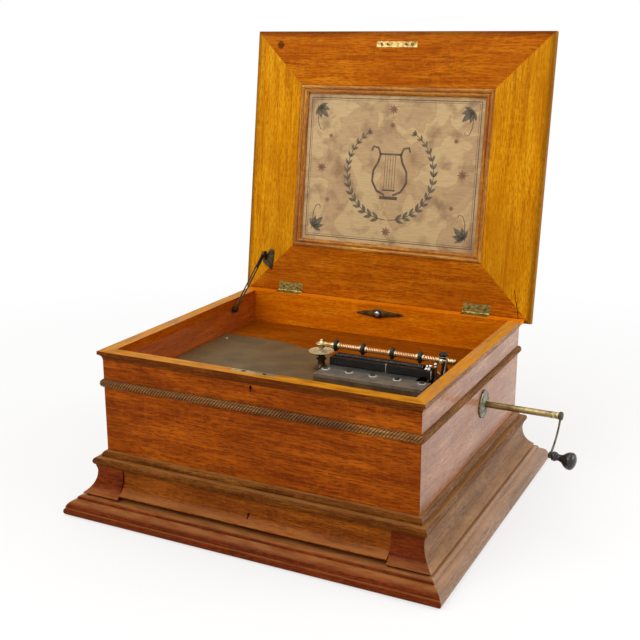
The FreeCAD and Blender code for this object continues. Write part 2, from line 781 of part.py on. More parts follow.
def comb_screw(comb_z, x):
    top = comb_z + comb_thick
    shank = round_z(comb_z, top, x, comb_screw_y, comb_screw_radius)
    washer_top = top + comb_washer_thick
    washer = round_z(top, washer_top, x, comb_screw_y, comb_washer_radius)
    head_top = washer_top + comb_head_height
    head = round_z(washer_top, head_top, x, comb_screw_y, comb_head_radius)
    slot = box(x - comb_slot / 2, x + comb_slot / 2, comb_screw_y - comb_washer_radius,
               comb_screw_y + comb_washer_radius, head_top - comb_slot, head_top + room)
    return join(shank, washer, head).cut(slot)


def comb(low):
    top = low + comb_thick
    clear = star_radius + pluck_gap
    drop = axle_z - top
    tip = -math.sqrt(clear ** 2 - drop ** 2) if clear > drop else -pluck_gap
    plate = box(comb_left, comb_right, comb_front, comb_root, low, top)
    half = comb_tooth_width / 2
    outline = []
    for n in range(tooth_count):
        x = first_tooth_x + tooth_pitch * n
        outline += [Vector(x - half, comb_root, 0), Vector(x - half, tip, 0),
                    Vector(x + half, tip, 0), Vector(x + half, comb_root, 0)]
    behind = comb_root - room
    outline += [Vector(outline[-1].x, behind, 0), Vector(outline[0].x, behind, 0)]
    teeth = prism(outline, Vector(0, 0, comb_tooth_thick))
    teeth.translate(Vector(0, 0, top - comb_tooth_thick))
    whole = join(plate, teeth)
    for n in range(comb_screw_count):
        x = comb_screw_x + comb_screw_pitch * n
        whole = whole.cut(round_z(low - room, top + room, x, comb_screw_y, comb_screw_radius))
    return whole


def gantry():
    top = bed_top + gantry_height
    clear = star_radius + gantry_room
    low = bed_top - room
    left = gantry_left + gantry_left_end
    right = gantry_right - gantry_right_end
    drive_x = sprocket_x - room
    block = box(gantry_left, gantry_right, gantry_front, gantry_back, bed_top, top)
    wheels = box(left, drive_x, -clear, clear, low, top + room)
    drive = box(drive_x, right, -sprocket_radius - room, gantry_back + room, low, top + room)
    tooth_top = bed_top + comb_base_height + comb_thick + gantry_tooth_room
    teeth = box(left, right, gantry_front - room, 0, low, tooth_top)
    body = block.cut(wheels).cut(drive).cut(teeth)
    middle = first_tooth_x + tooth_pitch * (tooth_count // 2 + 2.5)
    plate = box(middle - bearing_thick / 2, middle + bearing_thick / 2, -clear, clear,
                axle_z - 2 * axle_radius, top - room)
    body = join(body, plate)
    return body.cut(round_x(gantry_left - room, gantry_right + room, 0, axle_z, axle_radius))


def star_wheels():
    wheels = []
    valley = star_radius * star_valley
    for n in range(tooth_count):
        x = first_tooth_x + tooth_pitch * n - star_thick / 2
        points = []
        for corner in range(2 * star_points):
            radius = valley if corner % 2 else star_radius
            angle = math.pi * corner / star_points
            points.append(Vector(x, radius * math.cos(angle), axle_z + radius * math.sin(angle)))
        wheel = prism(points, Vector(star_thick, 0, 0))
        wheels.append(wheel.cut(round_x(x - room, x + star_thick + room, 0, axle_z,
                                        axle_radius + running)))
    return wheels


def pressure_bar():
    hub_z = bed_top + hub_height
    eye_low = hub_z + eye_gap
    eye_bore = spindle_radius + eye_room
    rod = round_x(bar_start, bar_pivot_x + bar_tail, 0, bar_z, bar_radius)
    eye = round_z(eye_low, bar_z, 0, 0, eye_bore + eye_wall)
    flange_low = bar_z - eye_flange_drop
    flange_top = flange_low + eye_flange_thick
    flange = round_z(flange_low, flange_top, 0, 0, eye_flange_radius)
    finial = Part.makeCone(finial_low_radius, finial_top_radius, finial_height,
                           Vector(0, 0, flange_top), UP)
    cap_low = bar_z + cap_stem_height
    cap = round_z(cap_low, cap_low + cap_height, bar_pivot_x, 0, cap_radius)
    stem = round_z(bar_z, cap_low, bar_pivot_x, 0, cap_stem_radius)
    bar = join(rod, eye, flange, finial, cap, stem)
    bar = bar.cut(round_z(eye_low - room, hub_z + spindle_length + room, 0, 0, eye_bore))
    bar = bar.cut(round_y(-bar_radius - room, bar_radius + room, bar_pivot_x, bar_z,
                          bar_pin_radius + running))
    save("pressure_bar", bar)
    rollers = []
    for x in roller_places:
        wheel = round_x(x - roller_width / 2, x + roller_width / 2, 0, bar_z, roller_radius)
        bore = round_x(x - roller_width, x + roller_width, 0, bar_z, bar_radius + running)
        rollers.append(wheel.cut(bore))
    save("bar_rollers", *rollers)
    inner = bar_radius + bracket_gap
    outer = inner + bracket_ear
    left = bar_pivot_x - bracket_width / 2
    right = bar_pivot_x + bracket_width / 2
    foot_top = bed_top + bracket_foot
    foot = box(left, right + bracket_toe, -outer - bracket_flare, outer + bracket_flare,
               bed_top, foot_top)
    ears = []
    for y0, y1 in ((-outer, -inner), (inner, outer)):
        ears.append(box(left, right, y0, y1, foot_top, bar_z))
        ears.append(round_y(y0, y1, bar_pivot_x, bar_z, bracket_width / 2))
    bracket = join(foot, *ears)
    pin = round_y(-outer, outer, bar_pivot_x, bar_z, bar_pin_radius)
    save("bar_bracket", bracket.cut(pin), pin)


def motor():
    plates = []
    high = deck_low - frame_gap
    bores = ((barrel_centre, arbor_radius), (drive_centre, drive_arbor_radius),
             (governor_centre, governor_arbor_radius), (crank_centre, crank_radius))
    for x in (frame_left, frame_right):
        plate = box(x, x + frame_thick, frame_front, frame_back, motor_floor, high)
        for centre, radius in bores:
            plate = plate.cut(round_x(x - room, x + frame_thick + room, centre[0], centre[1],
                                      radius + running))
        plates.append(plate)
    pillars = [round_x(frame_left + frame_thick, frame_right, y, z, pillar_radius)
               for y in (frame_front + pillar_inset, frame_back - pillar_inset)
               for z in (motor_floor + pillar_inset, high - pillar_inset)]
    save("motor_frame", *plates, *pillars)
    wheel_x = frame_right + frame_thick + winding_gap
    crank_tooth = 0.0
    winding_tooth = mesh_angle(crank_centre, barrel_centre, winding_pinion_teeth, crank_tooth,
                               winding_wheel_teeth)
    arbor = join(round_x(frame_left, wheel_x + gear_width, *barrel_centre, arbor_radius),
                 round_x(barrel_left + barrel_wall + seat,
                         barrel_left + barrel_length - barrel_wall - seat,
                         *barrel_centre, arbor_radius + barrel_core),
                 gear(wheel_x, wheel_x + gear_width, barrel_centre, winding_wheel_teeth,
                      winding_module, winding_tooth))
    save("winding_wheel", arbor)
    crank(wheel_x, crank_tooth)
    drum_end = barrel_left + barrel_length
    drum = round_x(barrel_left, drum_end, *barrel_centre, barrel_radius)
    hollow = round_x(barrel_left + barrel_wall, drum_end - barrel_wall, *barrel_centre,
                     barrel_radius - barrel_wall)
    great = gear(drum_end, drum_end + gear_width, barrel_centre, great_wheel_teeth,
                 great_module, 0.0)
    barrel = join(drum.cut(hollow), great)
    barrel = barrel.cut(round_x(barrel_left - room, drum_end + gear_width + room, *barrel_centre,
                                arbor_radius + running))
    save("spring_barrel", barrel)
    save("mainspring", mainspring())
    drive_train(drum_end)


def mainspring():
    """A flat spiral of half turns about two centres, from the drum's wall inwards."""
    start = barrel_radius - barrel_wall
    edges = []
    x = barrel_left + barrel_wall + spring_side
    for offset, way in ((0.0, range(spring_turns)),
                        (-spring_band, range(spring_turns - 1, -1, -1))):
        for n in way:
            radius = start - n * spring_step / 2 + offset
            centre = barrel_centre[0] - (0 if n % 2 == 0 else spring_step / 2)
            sign = 1 if n % 2 == 0 else -1
            ends = [Vector(x, centre + sign * radius, barrel_centre[1]),
                    Vector(x, centre, barrel_centre[1] + sign * radius),
                    Vector(x, centre - sign * radius, barrel_centre[1])]
            if offset:
                ends.reverse()
            if edges:
                last = edges[-1].Vertexes[-1].Point
                if last.distanceToPoint(ends[0]) > 0.001:
                    edges.append(Part.makeLine(last, ends[0]))
            edges.append(Part.Arc(*ends).toShape())
    edges.append(Part.makeLine(edges[-1].Vertexes[-1].Point, edges[0].Vertexes[0].Point))
    width = barrel_length - 2 * (barrel_wall + spring_side)
    return Part.Face(Part.Wire(edges)).extrude(Vector(width, 0, 0))


def drive_train(drum_end):
    pinion_at = mesh_angle(barrel_centre, drive_centre, great_wheel_teeth, 0.0,
                           great_pinion_teeth)
    wheel_x = drive_wheel_x
    end = frame_right + frame_thick
    save("drive_gear", join(
        round_x(frame_left, end, *drive_centre, drive_arbor_radius),
        gear(drum_end - wheel_less, drum_end + gear_width + wheel_less, drive_centre, great_pinion_teeth,
             great_module, pinion_at),
        gear(wheel_x, wheel_x + gear_width - wheel_less, drive_centre, train_wheel_teeth,
             train_module, 0.0)))
    sprocket_at = mesh_angle(drive_centre, axle_centre, train_wheel_teeth, 0.0,
                             train_pinion_teeth)
    points = []
    for corner in range(4 * sprocket_teeth):
        radius = sprocket_radius if corner % 4 in (1, 2) else sprocket_radius - sprocket_tooth
        angle = 2 * math.pi * (corner - 1.5) / (4 * sprocket_teeth)
        points.append(Vector(sprocket_x, radius * math.cos(angle),
                             axle_z + radius * math.sin(angle)))
    rim = prism(points, Vector(sprocket_width, 0, 0))
    sprocket = join(rim, round_x(sprocket_x, wheel_x, 0, axle_z, sprocket_sleeve),
                    gear(wheel_x, wheel_x + gear_width - wheel_less, axle_centre, train_pinion_teeth,
                         train_module, sprocket_at))
    save("sprocket", sprocket.cut(round_x(sprocket_x - room, wheel_x + gear_width, 0, axle_z,
                                          axle_radius + running)))
    governor_at = mesh_angle(drive_centre, governor_centre, train_wheel_teeth, 0.0,
                             train_pinion_teeth)
    y, z = governor_centre
    pieces = [round_x(frame_left, end, y, z, governor_arbor_radius),
              gear(wheel_x, wheel_x + gear_width - wheel_less, governor_centre,
                   train_pinion_teeth, train_module, governor_at),
              round_x(governor_x, governor_x + governor_disc_thick, y, z, governor_disc),
              round_x(governor_hub_x, governor_hub_x + gear_width, y, z, governor_hub)]
    for n in range(governor_balls):
        angle = 2 * math.pi * n / governor_balls
        out_y, out_z = math.cos(angle), math.sin(angle)
        pieces.append(Part.makeSphere(governor_ball, Vector(
            governor_ball_x, y + governor_ball_reach * out_y, z + governor_ball_reach * out_z)))
        pieces.append(round_x(governor_x, governor_hub_x + room, y + governor_spring_reach * out_y,
                              z + governor_spring_reach * out_z, governor_spring))
    save("governor", join(*pieces))


def crank(wheel_x, tooth_at):
    shaft_end = half_x + crank_reach
    shaft = round_x(frame_right, shaft_end, crank_y, crank_z, crank_radius)
    pinion = gear(wheel_x, wheel_x + gear_width, crank_centre, winding_pinion_teeth,
                  winding_module, tooth_at)
    save("crank_shaft", join(shaft, pinion))
    plate_end = half_x + plate_thick
    plate = round_x(half_x, plate_end, crank_y, crank_z, plate_radius)
    dome = Part.makeCone(*plate_dome, plate_thick, Vector(plate_end, crank_y, crank_z), ALONG_X)
    bore = round_x(half_x - room, plate_end + plate_thick + room, crank_y, crank_z,
                   crank_radius + running)
    save("crank_escutcheon", join(plate, dome).cut(bore))
    turn = math.radians(crank_angle)
    handle = (crank_y + crank_throw * math.cos(turn), crank_z + crank_throw * math.sin(turn))
    boss_end = shaft_end + crank_boss_length
    boss = round_x(shaft_end, boss_end, crank_y, crank_z, crank_radius + crank_boss_wall)
    arm_x = shaft_end + crank_arm_set
    arm = box(arm_x, arm_x + crank_arm_thick, 0, crank_throw,
              -crank_arm_width / 2, crank_arm_width / 2)
    arm.rotate(Vector(0, 0, 0), ALONG_X, crank_angle)
    arm.translate(Vector(0, crank_y, crank_z))
    foot = round_x(shaft_end, boss_end, *handle, crank_foot_radius)
    pin = round_x(boss_end, boss_end + crank_pin_length, *handle, crank_pin_radius)
    foot_middle = Vector(arm_x + crank_arm_thick / 2, *handle)
    lean_about = Vector(0, -math.sin(turn), math.cos(turn))
    for piece in (foot, pin):
        piece.rotate(foot_middle, lean_about, crank_lean)
    save("crank_arm", join(boss, arm, foot, pin))
    bore = crank_pin_radius + running
    outline = ((bore, 0), (7.2, 0), (7.4, 5.2), ((5.1, 9), (5.4, 12.5)), ((6.4, 15.6), (8.9, 18.5)),
               ((12.4, 23), (13.7, 29)), ((11.9, 33.3), (6, 36.2)), (0, 36.8),
               (0, crank_bore_length), (bore, crank_bore_length))
    turned = section(0, *outline).revolve(Vector(0, 0, 0), UP, 360)
    turned.rotate(Vector(0, 0, 0), ALONG_Y, 90)
    turned.translate(Vector(boss_end + seat, *handle))
    turned.rotate(foot_middle, lean_about, crank_lean)
    save("crank_knob", turned)


def turn_button():
    y1 = inner_y - seat
    y0 = y1 - button_thick
    half = button_height / 2
    outline = [Vector(button_x - button_reach, y0, button_z),
               Vector(button_x - button_shoulder, y0, button_z - half),
               Vector(button_x + button_shoulder, y0, button_z - half),
               Vector(button_x + button_reach, y0, button_z),
               Vector(button_x + button_shoulder, y0, button_z + half),
               Vector(button_x - button_shoulder, y0, button_z + half)]
    plate = prism(outline, Vector(0, button_thick, 0))
    knob = round_y(y0 - button_knob_height, y0, button_x, button_z, button_knob_radius)
    save("turn_button", join(plate, knob))


os.makedirs("parts", exist_ok=True)
base_mouldings()
case_walls()
case_lock()
drawer()
hinges()
lid()
lid_stay()
movement()
pressure_bar()
motor()
turn_button()
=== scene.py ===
import bpy
import bmesh
import math
from mathutils import Matrix, Vector


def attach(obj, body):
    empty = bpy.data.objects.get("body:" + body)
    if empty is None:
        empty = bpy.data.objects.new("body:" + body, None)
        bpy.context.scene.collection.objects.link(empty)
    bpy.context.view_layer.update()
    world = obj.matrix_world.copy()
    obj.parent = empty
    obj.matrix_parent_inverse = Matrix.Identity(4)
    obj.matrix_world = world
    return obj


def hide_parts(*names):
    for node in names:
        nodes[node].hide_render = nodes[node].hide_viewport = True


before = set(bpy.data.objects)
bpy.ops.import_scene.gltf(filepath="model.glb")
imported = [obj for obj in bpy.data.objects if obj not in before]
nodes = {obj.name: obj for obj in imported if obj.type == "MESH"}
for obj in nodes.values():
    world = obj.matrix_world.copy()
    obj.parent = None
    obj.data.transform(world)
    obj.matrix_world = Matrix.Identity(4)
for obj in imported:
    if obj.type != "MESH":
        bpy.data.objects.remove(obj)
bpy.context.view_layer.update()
mm = 0.001


# A place in millimetres, and a turn in degrees
def at(x, y, z):
    return Matrix.Translation((x * mm, y * mm, z * mm))


def turnBy(degrees, axis):
    return Matrix.Rotation(math.radians(degrees), 4, axis)



# The case as it was built, in millimetres
case = dict(halfX=270.5, halfY=236.0, wall=16.0, rimTop=273.0, deckTop=212.0, bedTop=214.0,
            ropeZ=219.0, hingeY=244.5, hingeZ=273.2, lidOpen=97.6, lidLow=273.4)
innerX = case["halfX"] - case["wall"]
innerY = case["halfY"] - case["wall"]
hingeLine = Vector((0, case["hingeY"] * mm, case["hingeZ"] * mm))
openLid = (Matrix.Translation(hingeLine) @ Matrix.Rotation(math.radians(-case["lidOpen"]), 4, "X")
           @ Matrix.Translation(-hingeLine))
print("frame loaded,", len(nodes), "nodes")


# Camera, floor and light
view = dict(lens=57.81, sensor=36.0, place=(0.7313, -1.4753, 0.7531), yaw=-0.4617, pitch=-0.2697)
light = dict(floor="#f4f3f1", floorGlow=(0.62, 1.0), floorReach=(0.6, 1.6), world=0.62,
             keyPower=26.0, keySize=1.6, sidePower=30.0, sideSize=1.8, topPower=9.0, topSize=1.4)


def linear(hexColour, alpha=1.0):
    values = [int(hexColour[i:i + 2], 16) / 255 for i in (1, 3, 5)]
    return tuple(v / 12.92 if v <= 0.04045 else ((v + 0.055) / 1.055) ** 2.4 for v in values) + (alpha,)


def addNode(tree, kind, inputs=None, stops=None, **settings):
    node = tree.nodes.new(kind)
    for key, value in settings.items():
        setattr(node, key, value)
    for key, value in (inputs or {}).items():
        if isinstance(value, bpy.types.NodeSocket):
            tree.links.new(value, node.inputs[key])
        else:
            node.inputs[key].default_value = value
    if stops:
        ramp = node.color_ramp.elements
        while len(ramp) < len(stops):
            ramp.new(1.0)
        for element, (place, colour) in zip(ramp, stops):
            element.position = place
            element.color = linear(colour) if isinstance(colour, str) else (colour, colour, colour, 1)
    return node


def newMaterial(name):
    material = bpy.data.materials.new(name)
    material.use_nodes = True
    material.node_tree.nodes.clear()
    return material, material.node_tree


def finishMaterial(tree, shader):
    addNode(tree, "ShaderNodeOutputMaterial", {"Surface": shader.outputs[0]})


# 1 for what the camera, a mirror or a glass sees, and 0 for light that falls on the object
def seenRays(tree):
    path = addNode(tree, "ShaderNodeLightPath")
    mirrored = addNode(tree, "ShaderNodeMath", {0: path.outputs["Is Glossy Ray"],
                                                1: path.outputs["Is Transmission Ray"]},
                       operation="ADD")
    return addNode(tree, "ShaderNodeMath", {0: path.outputs["Is Camera Ray"], 1: mirrored.outputs[0]},
                   operation="ADD", use_clamp=True).outputs[0]


def setStage():
    bpy.context.scene.view_settings.view_transform = "Standard"
    bpy.ops.object.select_all(action="DESELECT")
    bpy.ops.object.camera_add(location=view["place"],
                              rotation=(math.pi / 2 + view["pitch"], 0, -view["yaw"]))
    camera = bpy.context.object
    camera.name = "photoCamera"
    camera.data.lens = view["lens"]
    camera.data.sensor_width = view["sensor"]
    camera.data.clip_start = 0.05
    bpy.context.scene.camera = camera
    bpy.ops.mesh.primitive_plane_add(size=30, location=(0, 0, -0.0004))
    floor = bpy.context.object
    floor.name = "paleFloor"
    material, tree = newMaterial("paleFloor")
    # White to the eye and to mirrors far out, and near the object a matt sheet that keeps the shadow
    away = addNode(tree, "ShaderNodeVectorMath", {
        0: addNode(tree, "ShaderNodeTexCoord").outputs["Object"]}, operation="LENGTH")
    glow = addNode(tree, "ShaderNodeMapRange", {
        "Value": away.outputs["Value"], "From Min": light["floorReach"][0],
        "From Max": light["floorReach"][1], "To Min": light["floorGlow"][0],
        "To Max": light["floorGlow"][1]})
    seen = addNode(tree, "ShaderNodeMath", {0: seenRays(tree), 1: glow.outputs[0]},
                   operation="MULTIPLY")
    paper = addNode(tree, "ShaderNodeBsdfDiffuse", {"Color": linear(light["floor"])})
    bright = addNode(tree, "ShaderNodeEmission", {"Color": linear("#ffffff"), "Strength": 1.0})
    both = addNode(tree, "ShaderNodeMixShader", {0: seen.outputs[0], 1: paper.outputs[0],
                                                 2: bright.outputs[0]})
    finishMaterial(tree, both)
    floor.data.materials.append(material)
    world = bpy.data.worlds.new("paleRoom")
    bpy.context.scene.world = world
    world.use_nodes = True
    tree = world.node_tree
    tree.nodes.clear()
    room = addNode(tree, "ShaderNodeBackground", {"Color": linear("#ffffff"), "Strength": light["world"]})
    white = addNode(tree, "ShaderNodeBackground", {"Color": linear("#ffffff"), "Strength": 1.0})
    sky = addNode(tree, "ShaderNodeMixShader", {0: seenRays(tree), 1: room.outputs[0],
                                                2: white.outputs[0]})
    addNode(tree, "ShaderNodeOutputWorld", {"Surface": sky.outputs[0]})
    for name, place, size, power in (
            ("keyLight", (-1.0, -1.7, 1.9), light["keySize"], light["keyPower"]),
            ("sideLight", (2.2, 0.5, 1.2), light["sideSize"], light["sidePower"]),
            ("topLight", (-0.2, -0.1, 2.4), light["topSize"], light["topPower"])):
        bpy.ops.object.light_add(type="AREA", location=place)
        lamp = bpy.context.object
        lamp.name = name
        lamp.data.size = size
        lamp.data.energy = power
        aim = Vector((0, 0, 0.2)) - Vector(place)
        lamp.rotation_euler = aim.to_track_quat("-Z", "Y").to_euler()


setStage()
print("camera, floor and lamps made")


# Materials. Every pattern is scaled from its real size in millimetres.
# Short ways to the nodes that come often. Each returns the socket to link on.
def maths(tree, operation, *values):
    return addNode(tree, "ShaderNodeMath", dict(enumerate(values)), operation=operation).outputs[0]


def mixed(tree, amount, one, other):
    return addNode(tree, "ShaderNodeMix", {0: amount, 6: one, 7: other}, data_type="RGBA").outputs[2]


def ramp(tree, value, *stops):
    return addNode(tree, "ShaderNodeValToRGB", {"Fac": value}, stops=stops).outputs[0]


def mapped(tree, value, low, high, toLow=0.0, toHigh=1.0):
    return addNode(tree, "ShaderNodeMapRange", {"Value": value, "From Min": low, "From Max": high,
                                                "To Min": toLow, "To Max": toHigh}).outputs[0]


def objectPlace(tree):
    return addNode(tree, "ShaderNodeTexCoord").outputs["Object"]


# Coordinates for a pattern whose marks are long x wide millimetres
def stretched(tree, space, long, wide):
    return addNode(tree, "ShaderNodeMapping", {
        "Vector": space, "Scale": (1 / (long * mm), 1 / (wide * mm), 1 / (wide * mm))}).outputs[0]


def noise(tree, space, long, wide, detail=2.0, distortion=0.0):
    return addNode(tree, "ShaderNodeTexNoise", {
        "Vector": stretched(tree, space, long, wide), "Scale": 1.0, "Detail": detail,
        "Distortion": distortion}).outputs[0]


def bumped(tree, height, strength, distance):
    return addNode(tree, "ShaderNodeBump", {"Strength": strength, "Distance": distance * mm,
                                            "Height": height}).outputs[0]


# The mitre lines of a frame lie where |X| - |Y| is this many metres
caseMitre = 34.5 * mm
lidMitre = 37.15 * mm
lidMiddle = -242.15 * mm


# 1 on the lengths of a frame that run along its left and right sides
def sideMask(tree, place, mitre, middle=0.0):
    split = addNode(tree, "ShaderNodeSeparateXYZ", {0: place})
    across = maths(tree, "ABSOLUTE", split.outputs[0])
    along = maths(tree, "ABSOLUTE", maths(tree, "SUBTRACT", split.outputs[1], middle))
    return maths(tree, "GREATER_THAN", maths(tree, "SUBTRACT", across, along), mitre)


# Object coordinates turned so that X runs along the grain
def grainSpace(tree, grain):
    place = objectPlace(tree)
    aside = (0, 0, -math.pi / 2)
    if grain == "x":
        return place
    if grain.startswith("lid"):
        place = addNode(tree, "ShaderNodeMapping", {
            "Vector": addNode(tree, "ShaderNodeVectorMath", {0: place, 1: hingeLine},
                              operation="SUBTRACT").outputs[0],
            "Rotation": (math.radians(case["lidOpen"]), 0, 0)}).outputs[0]
    if grain == "lidX":
        return place
    turned = addNode(tree, "ShaderNodeMapping", {"Vector": place, "Rotation": aside}).outputs[0]
    if grain in ("y", "lidY"):
        return turned
    side = sideMask(tree, place, *((caseMitre,) if grain == "frame" else (lidMitre, lidMiddle)))
    return addNode(tree, "ShaderNodeMix", {0: side, 4: place, 5: turned},
                   data_type="VECTOR").outputs[1]


# 1 on the faces that look into the case, and 0 elsewhere
def insideMask(tree):
    split = addNode(tree, "ShaderNodeSeparateXYZ", {0: objectPlace(tree)})
    marks = [maths(tree, "LESS_THAN", maths(tree, "ABSOLUTE", split.outputs[axis]),
                   (reach + 0.1) * mm)
             for axis, reach in ((0, innerX), (1, innerY))]
    return maths(tree, "MULTIPLY", *marks)


# A round plug, a crack and dark outer edges in the lid's frame, from places on the closed lid
flaws = dict(plug=(-238.0, -223.0), plugRadius=7.5, crack=(252.0, 196.0), crackEnd=(264.0, 244.0),
             crackWidth=1.1, edge=(282.0, 244.8), edgeWidth=6.0, middleY=2.35)


def lidFlaws(tree):
    flat = addNode(tree, "ShaderNodeVectorMath", {0: grainSpace(tree, "lidX"), 1: (1, 1, 0)},
                   operation="MULTIPLY").outputs[0]
    centre = (flaws["plug"][0] * mm, (flaws["plug"][1] - case["hingeY"]) * mm, 0)
    away = addNode(tree, "ShaderNodeVectorMath", {0: flat, 1: centre}, operation="DISTANCE")
    plug = mapped(tree, away.outputs["Value"], (flaws["plugRadius"] - 0.8) * mm,
                  flaws["plugRadius"] * mm, 0.75, 0.0)
    (x0, y0), (x1, y1) = flaws["crack"], flaws["crackEnd"]
    split = addNode(tree, "ShaderNodeSeparateXYZ", {0: flat})
    lean = (x1 - x0) / (y1 - y0)
    onLine = maths(tree, "MULTIPLY_ADD", split.outputs[1], lean,
                   (x0 - (y0 - case["hingeY"]) * lean) * mm)
    bent = maths(tree, "MULTIPLY_ADD", noise(tree, flat, 9, 9), 5 * mm, onLine)
    size = maths(tree, "ABSOLUTE", maths(tree, "SUBTRACT", split.outputs[0], bent))
    line = mapped(tree, size, 0.3 * mm, flaws["crackWidth"] * mm, 0.9, 0.0)
    behind = maths(tree, "GREATER_THAN", split.outputs[1], (y0 - case["hingeY"]) * mm)
    worst = maths(tree, "MAXIMUM", plug, maths(tree, "MULTIPLY", line, behind))
    middles = (0.0, flaws["middleY"] - case["hingeY"])
    for axis, (middle, reach) in enumerate(zip(middles, flaws["edge"])):
        out = maths(tree, "ABSOLUTE", maths(tree, "SUBTRACT", split.outputs[axis], middle * mm))
        dark = mapped(tree, out, (reach - flaws["edgeWidth"]) * mm, (reach + 4) * mm, 0.0, 0.6)
        worst = maths(tree, "MAXIMUM", worst, dark)
    return worst


def oak(name, grain, dark, middle, pale, pore, wearAndTopLight=None, wearAndTopLightFrom=0.55, figure=0.5, varnish=0.02,
        specular=0.02, gloss=0.32, poreDepth=0.6, shift=(0, 0, 0), inside=None, behind=None,
        sides=None, flawed=False):
    # Quarter-sawn oak under old shellac: straight streaks, short open pores that hold dark
    # stain, silky cross flecks, and a warm coat that has gone uneven.
    material, tree = newMaterial(name)
    space = addNode(tree, "ShaderNodeVectorMath", {0: grainSpace(tree, grain), 1: shift},
                    operation="ADD").outputs[0]
    broad = noise(tree, space, 150, 16, 4.0, 0.5)
    streak = noise(tree, space, 55, 2.6, 4.0, 0.2)
    # Real pores are 0.3 mm wide; they are drawn 1.3 mm wide to show at this distance
    pores = noise(tree, space, 11, 1.3)
    old = noise(tree, space, 120, 70, 5.0)
    blend = addNode(tree, "ShaderNodeMix", {0: figure, 2: streak, 3: broad},
                    data_type="FLOAT").outputs[0]
    flecked = ramp(tree, noise(tree, space, 9, 26, 3.0, 1.2), (0.5, 0.0), (0.66, 0.28))
    hole = ramp(tree, pores, (0.38, poreDepth), (0.52, 0.0))
    cloud = ramp(tree, old, (0.4, 0.0), (0.62, 0.45))

    def coloured(dark, middle, pale, pore):
        tone = ramp(tree, blend, (0.36, dark), (0.5, middle), (0.66, pale))
        for amount, other in ((flecked, pale), (hole, pore), (cloud, dark)):
            tone = mixed(tree, amount, tone, linear(other))
        return tone
    colour = coloured(dark, middle, pale, pore)
    # Faces along the left and right get a paler, greyer tone: painted sheen of the light on those faces
    if sides:
        side = sideMask(tree, objectPlace(tree), caseMitre)
        colour = mixed(tree, side, colour, coloured(**sides))
    # Faces that look into the case get a brighter tone: painted light inside the case
    if inside:
        colour = mixed(tree, insideMask(tree), colour, coloured(**inside))
    # The back of the rim takes the brighter back-wall tone: painted light on the back wall
    if behind:
        split = addNode(tree, "ShaderNodeSeparateXYZ", {0: objectPlace(tree)})
        back = maths(tree, "GREATER_THAN", split.outputs[1], (innerY - 0.5) * mm)
        colour = mixed(tree, back, colour, coloured(**behind))
    if flawed:
        colour = mixed(tree, lidFlaws(tree), colour, linear("#3a1804"))
    if wearAndTopLight:
        # The tops of ledges and mouldings are painted paler: partly rubbed wear, partly painted light
        # falling on them from above
        facing = addNode(tree, "ShaderNodeSeparateXYZ",
                         {0: addNode(tree, "ShaderNodeNewGeometry").outputs["Normal"]})
        upwardLight = mapped(tree, facing.outputs[2], wearAndTopLightFrom, 0.98)
        worn = mapped(tree, noise(tree, space, 40, 8, 4.0), 0.3, 0.6, 0.35, 0.9)
        amount = maths(tree, "MULTIPLY", upwardLight, worn)
        if behind:
            amount = maths(tree, "MULTIPLY", amount, maths(tree, "SUBTRACT", 1.0, back))
        colour = mixed(tree, amount, colour, linear(wearAndTopLight))
    relief = maths(tree, "SUBTRACT", streak, hole)
    shader = addNode(tree, "ShaderNodeBsdfPrincipled", {
        "Base Color": colour, "Roughness": mapped(tree, old, 0.3, 0.7, gloss, gloss + 0.2),
        "IOR": 1.5, "Specular IOR Level": specular, "Coat Weight": varnish,
        "Coat Roughness": 0.16, "Normal": bumped(tree, relief, 0.35, 0.25)})
    finishMaterial(tree, shader)
    return material


# past is a Y in millimetres: the metal in front of it lies in the shadow of its hole.
# grooves is (height of a rod's axis, radius where dirt fills it, radius where it is bare).
def metal(name, colour, shade, rough=0.28, patch=9.0, tarnish="#3a3024", dirt=0.5, metallic=1.0,
          past=None, grooves=None):
    # Aged metal: the bare tone, a duller one in clouds, and dirt where hands don't reach
    material, tree = newMaterial(name)
    space = objectPlace(tree)
    cloud = noise(tree, space, patch, patch, 5.0)
    fine = noise(tree, space, 1.4, 1.4)
    dulled = mixed(tree, ramp(tree, fine, (0.34, dirt), (0.5, 0.0)),
                   ramp(tree, cloud, (0.38, shade), (0.6, colour)), linear(tarnish))
    if past:
        split = addNode(tree, "ShaderNodeSeparateXYZ", {0: space})
        hidden = maths(tree, "LESS_THAN", split.outputs[1], past * mm)
        dulled = mixed(tree, hidden, dulled, linear("#120a06"))
    if grooves:
        axis, filled, bare = grooves
        across = addNode(tree, "ShaderNodeVectorMath", {0: space, 1: (0, 1, 1)},
                         operation="MULTIPLY")
        depth = addNode(tree, "ShaderNodeVectorMath", {0: across.outputs[0],
                                                       1: (0, 0, axis * mm)},
                        operation="DISTANCE")
        dirty = mapped(tree, depth.outputs["Value"], filled * mm, bare * mm, 0.85, 0.0)
        dulled = mixed(tree, dirty, dulled, linear("#6a3c1a"))
    shader = addNode(tree, "ShaderNodeBsdfPrincipled", {
        "Base Color": dulled, "Metallic": metallic,
        "Roughness": mapped(tree, cloud, 0.3, 0.7, rough + 0.18, rough),
        "Normal": bumped(tree, fine, 0.2, 0.08)})
    finishMaterial(tree, shader)
    return material


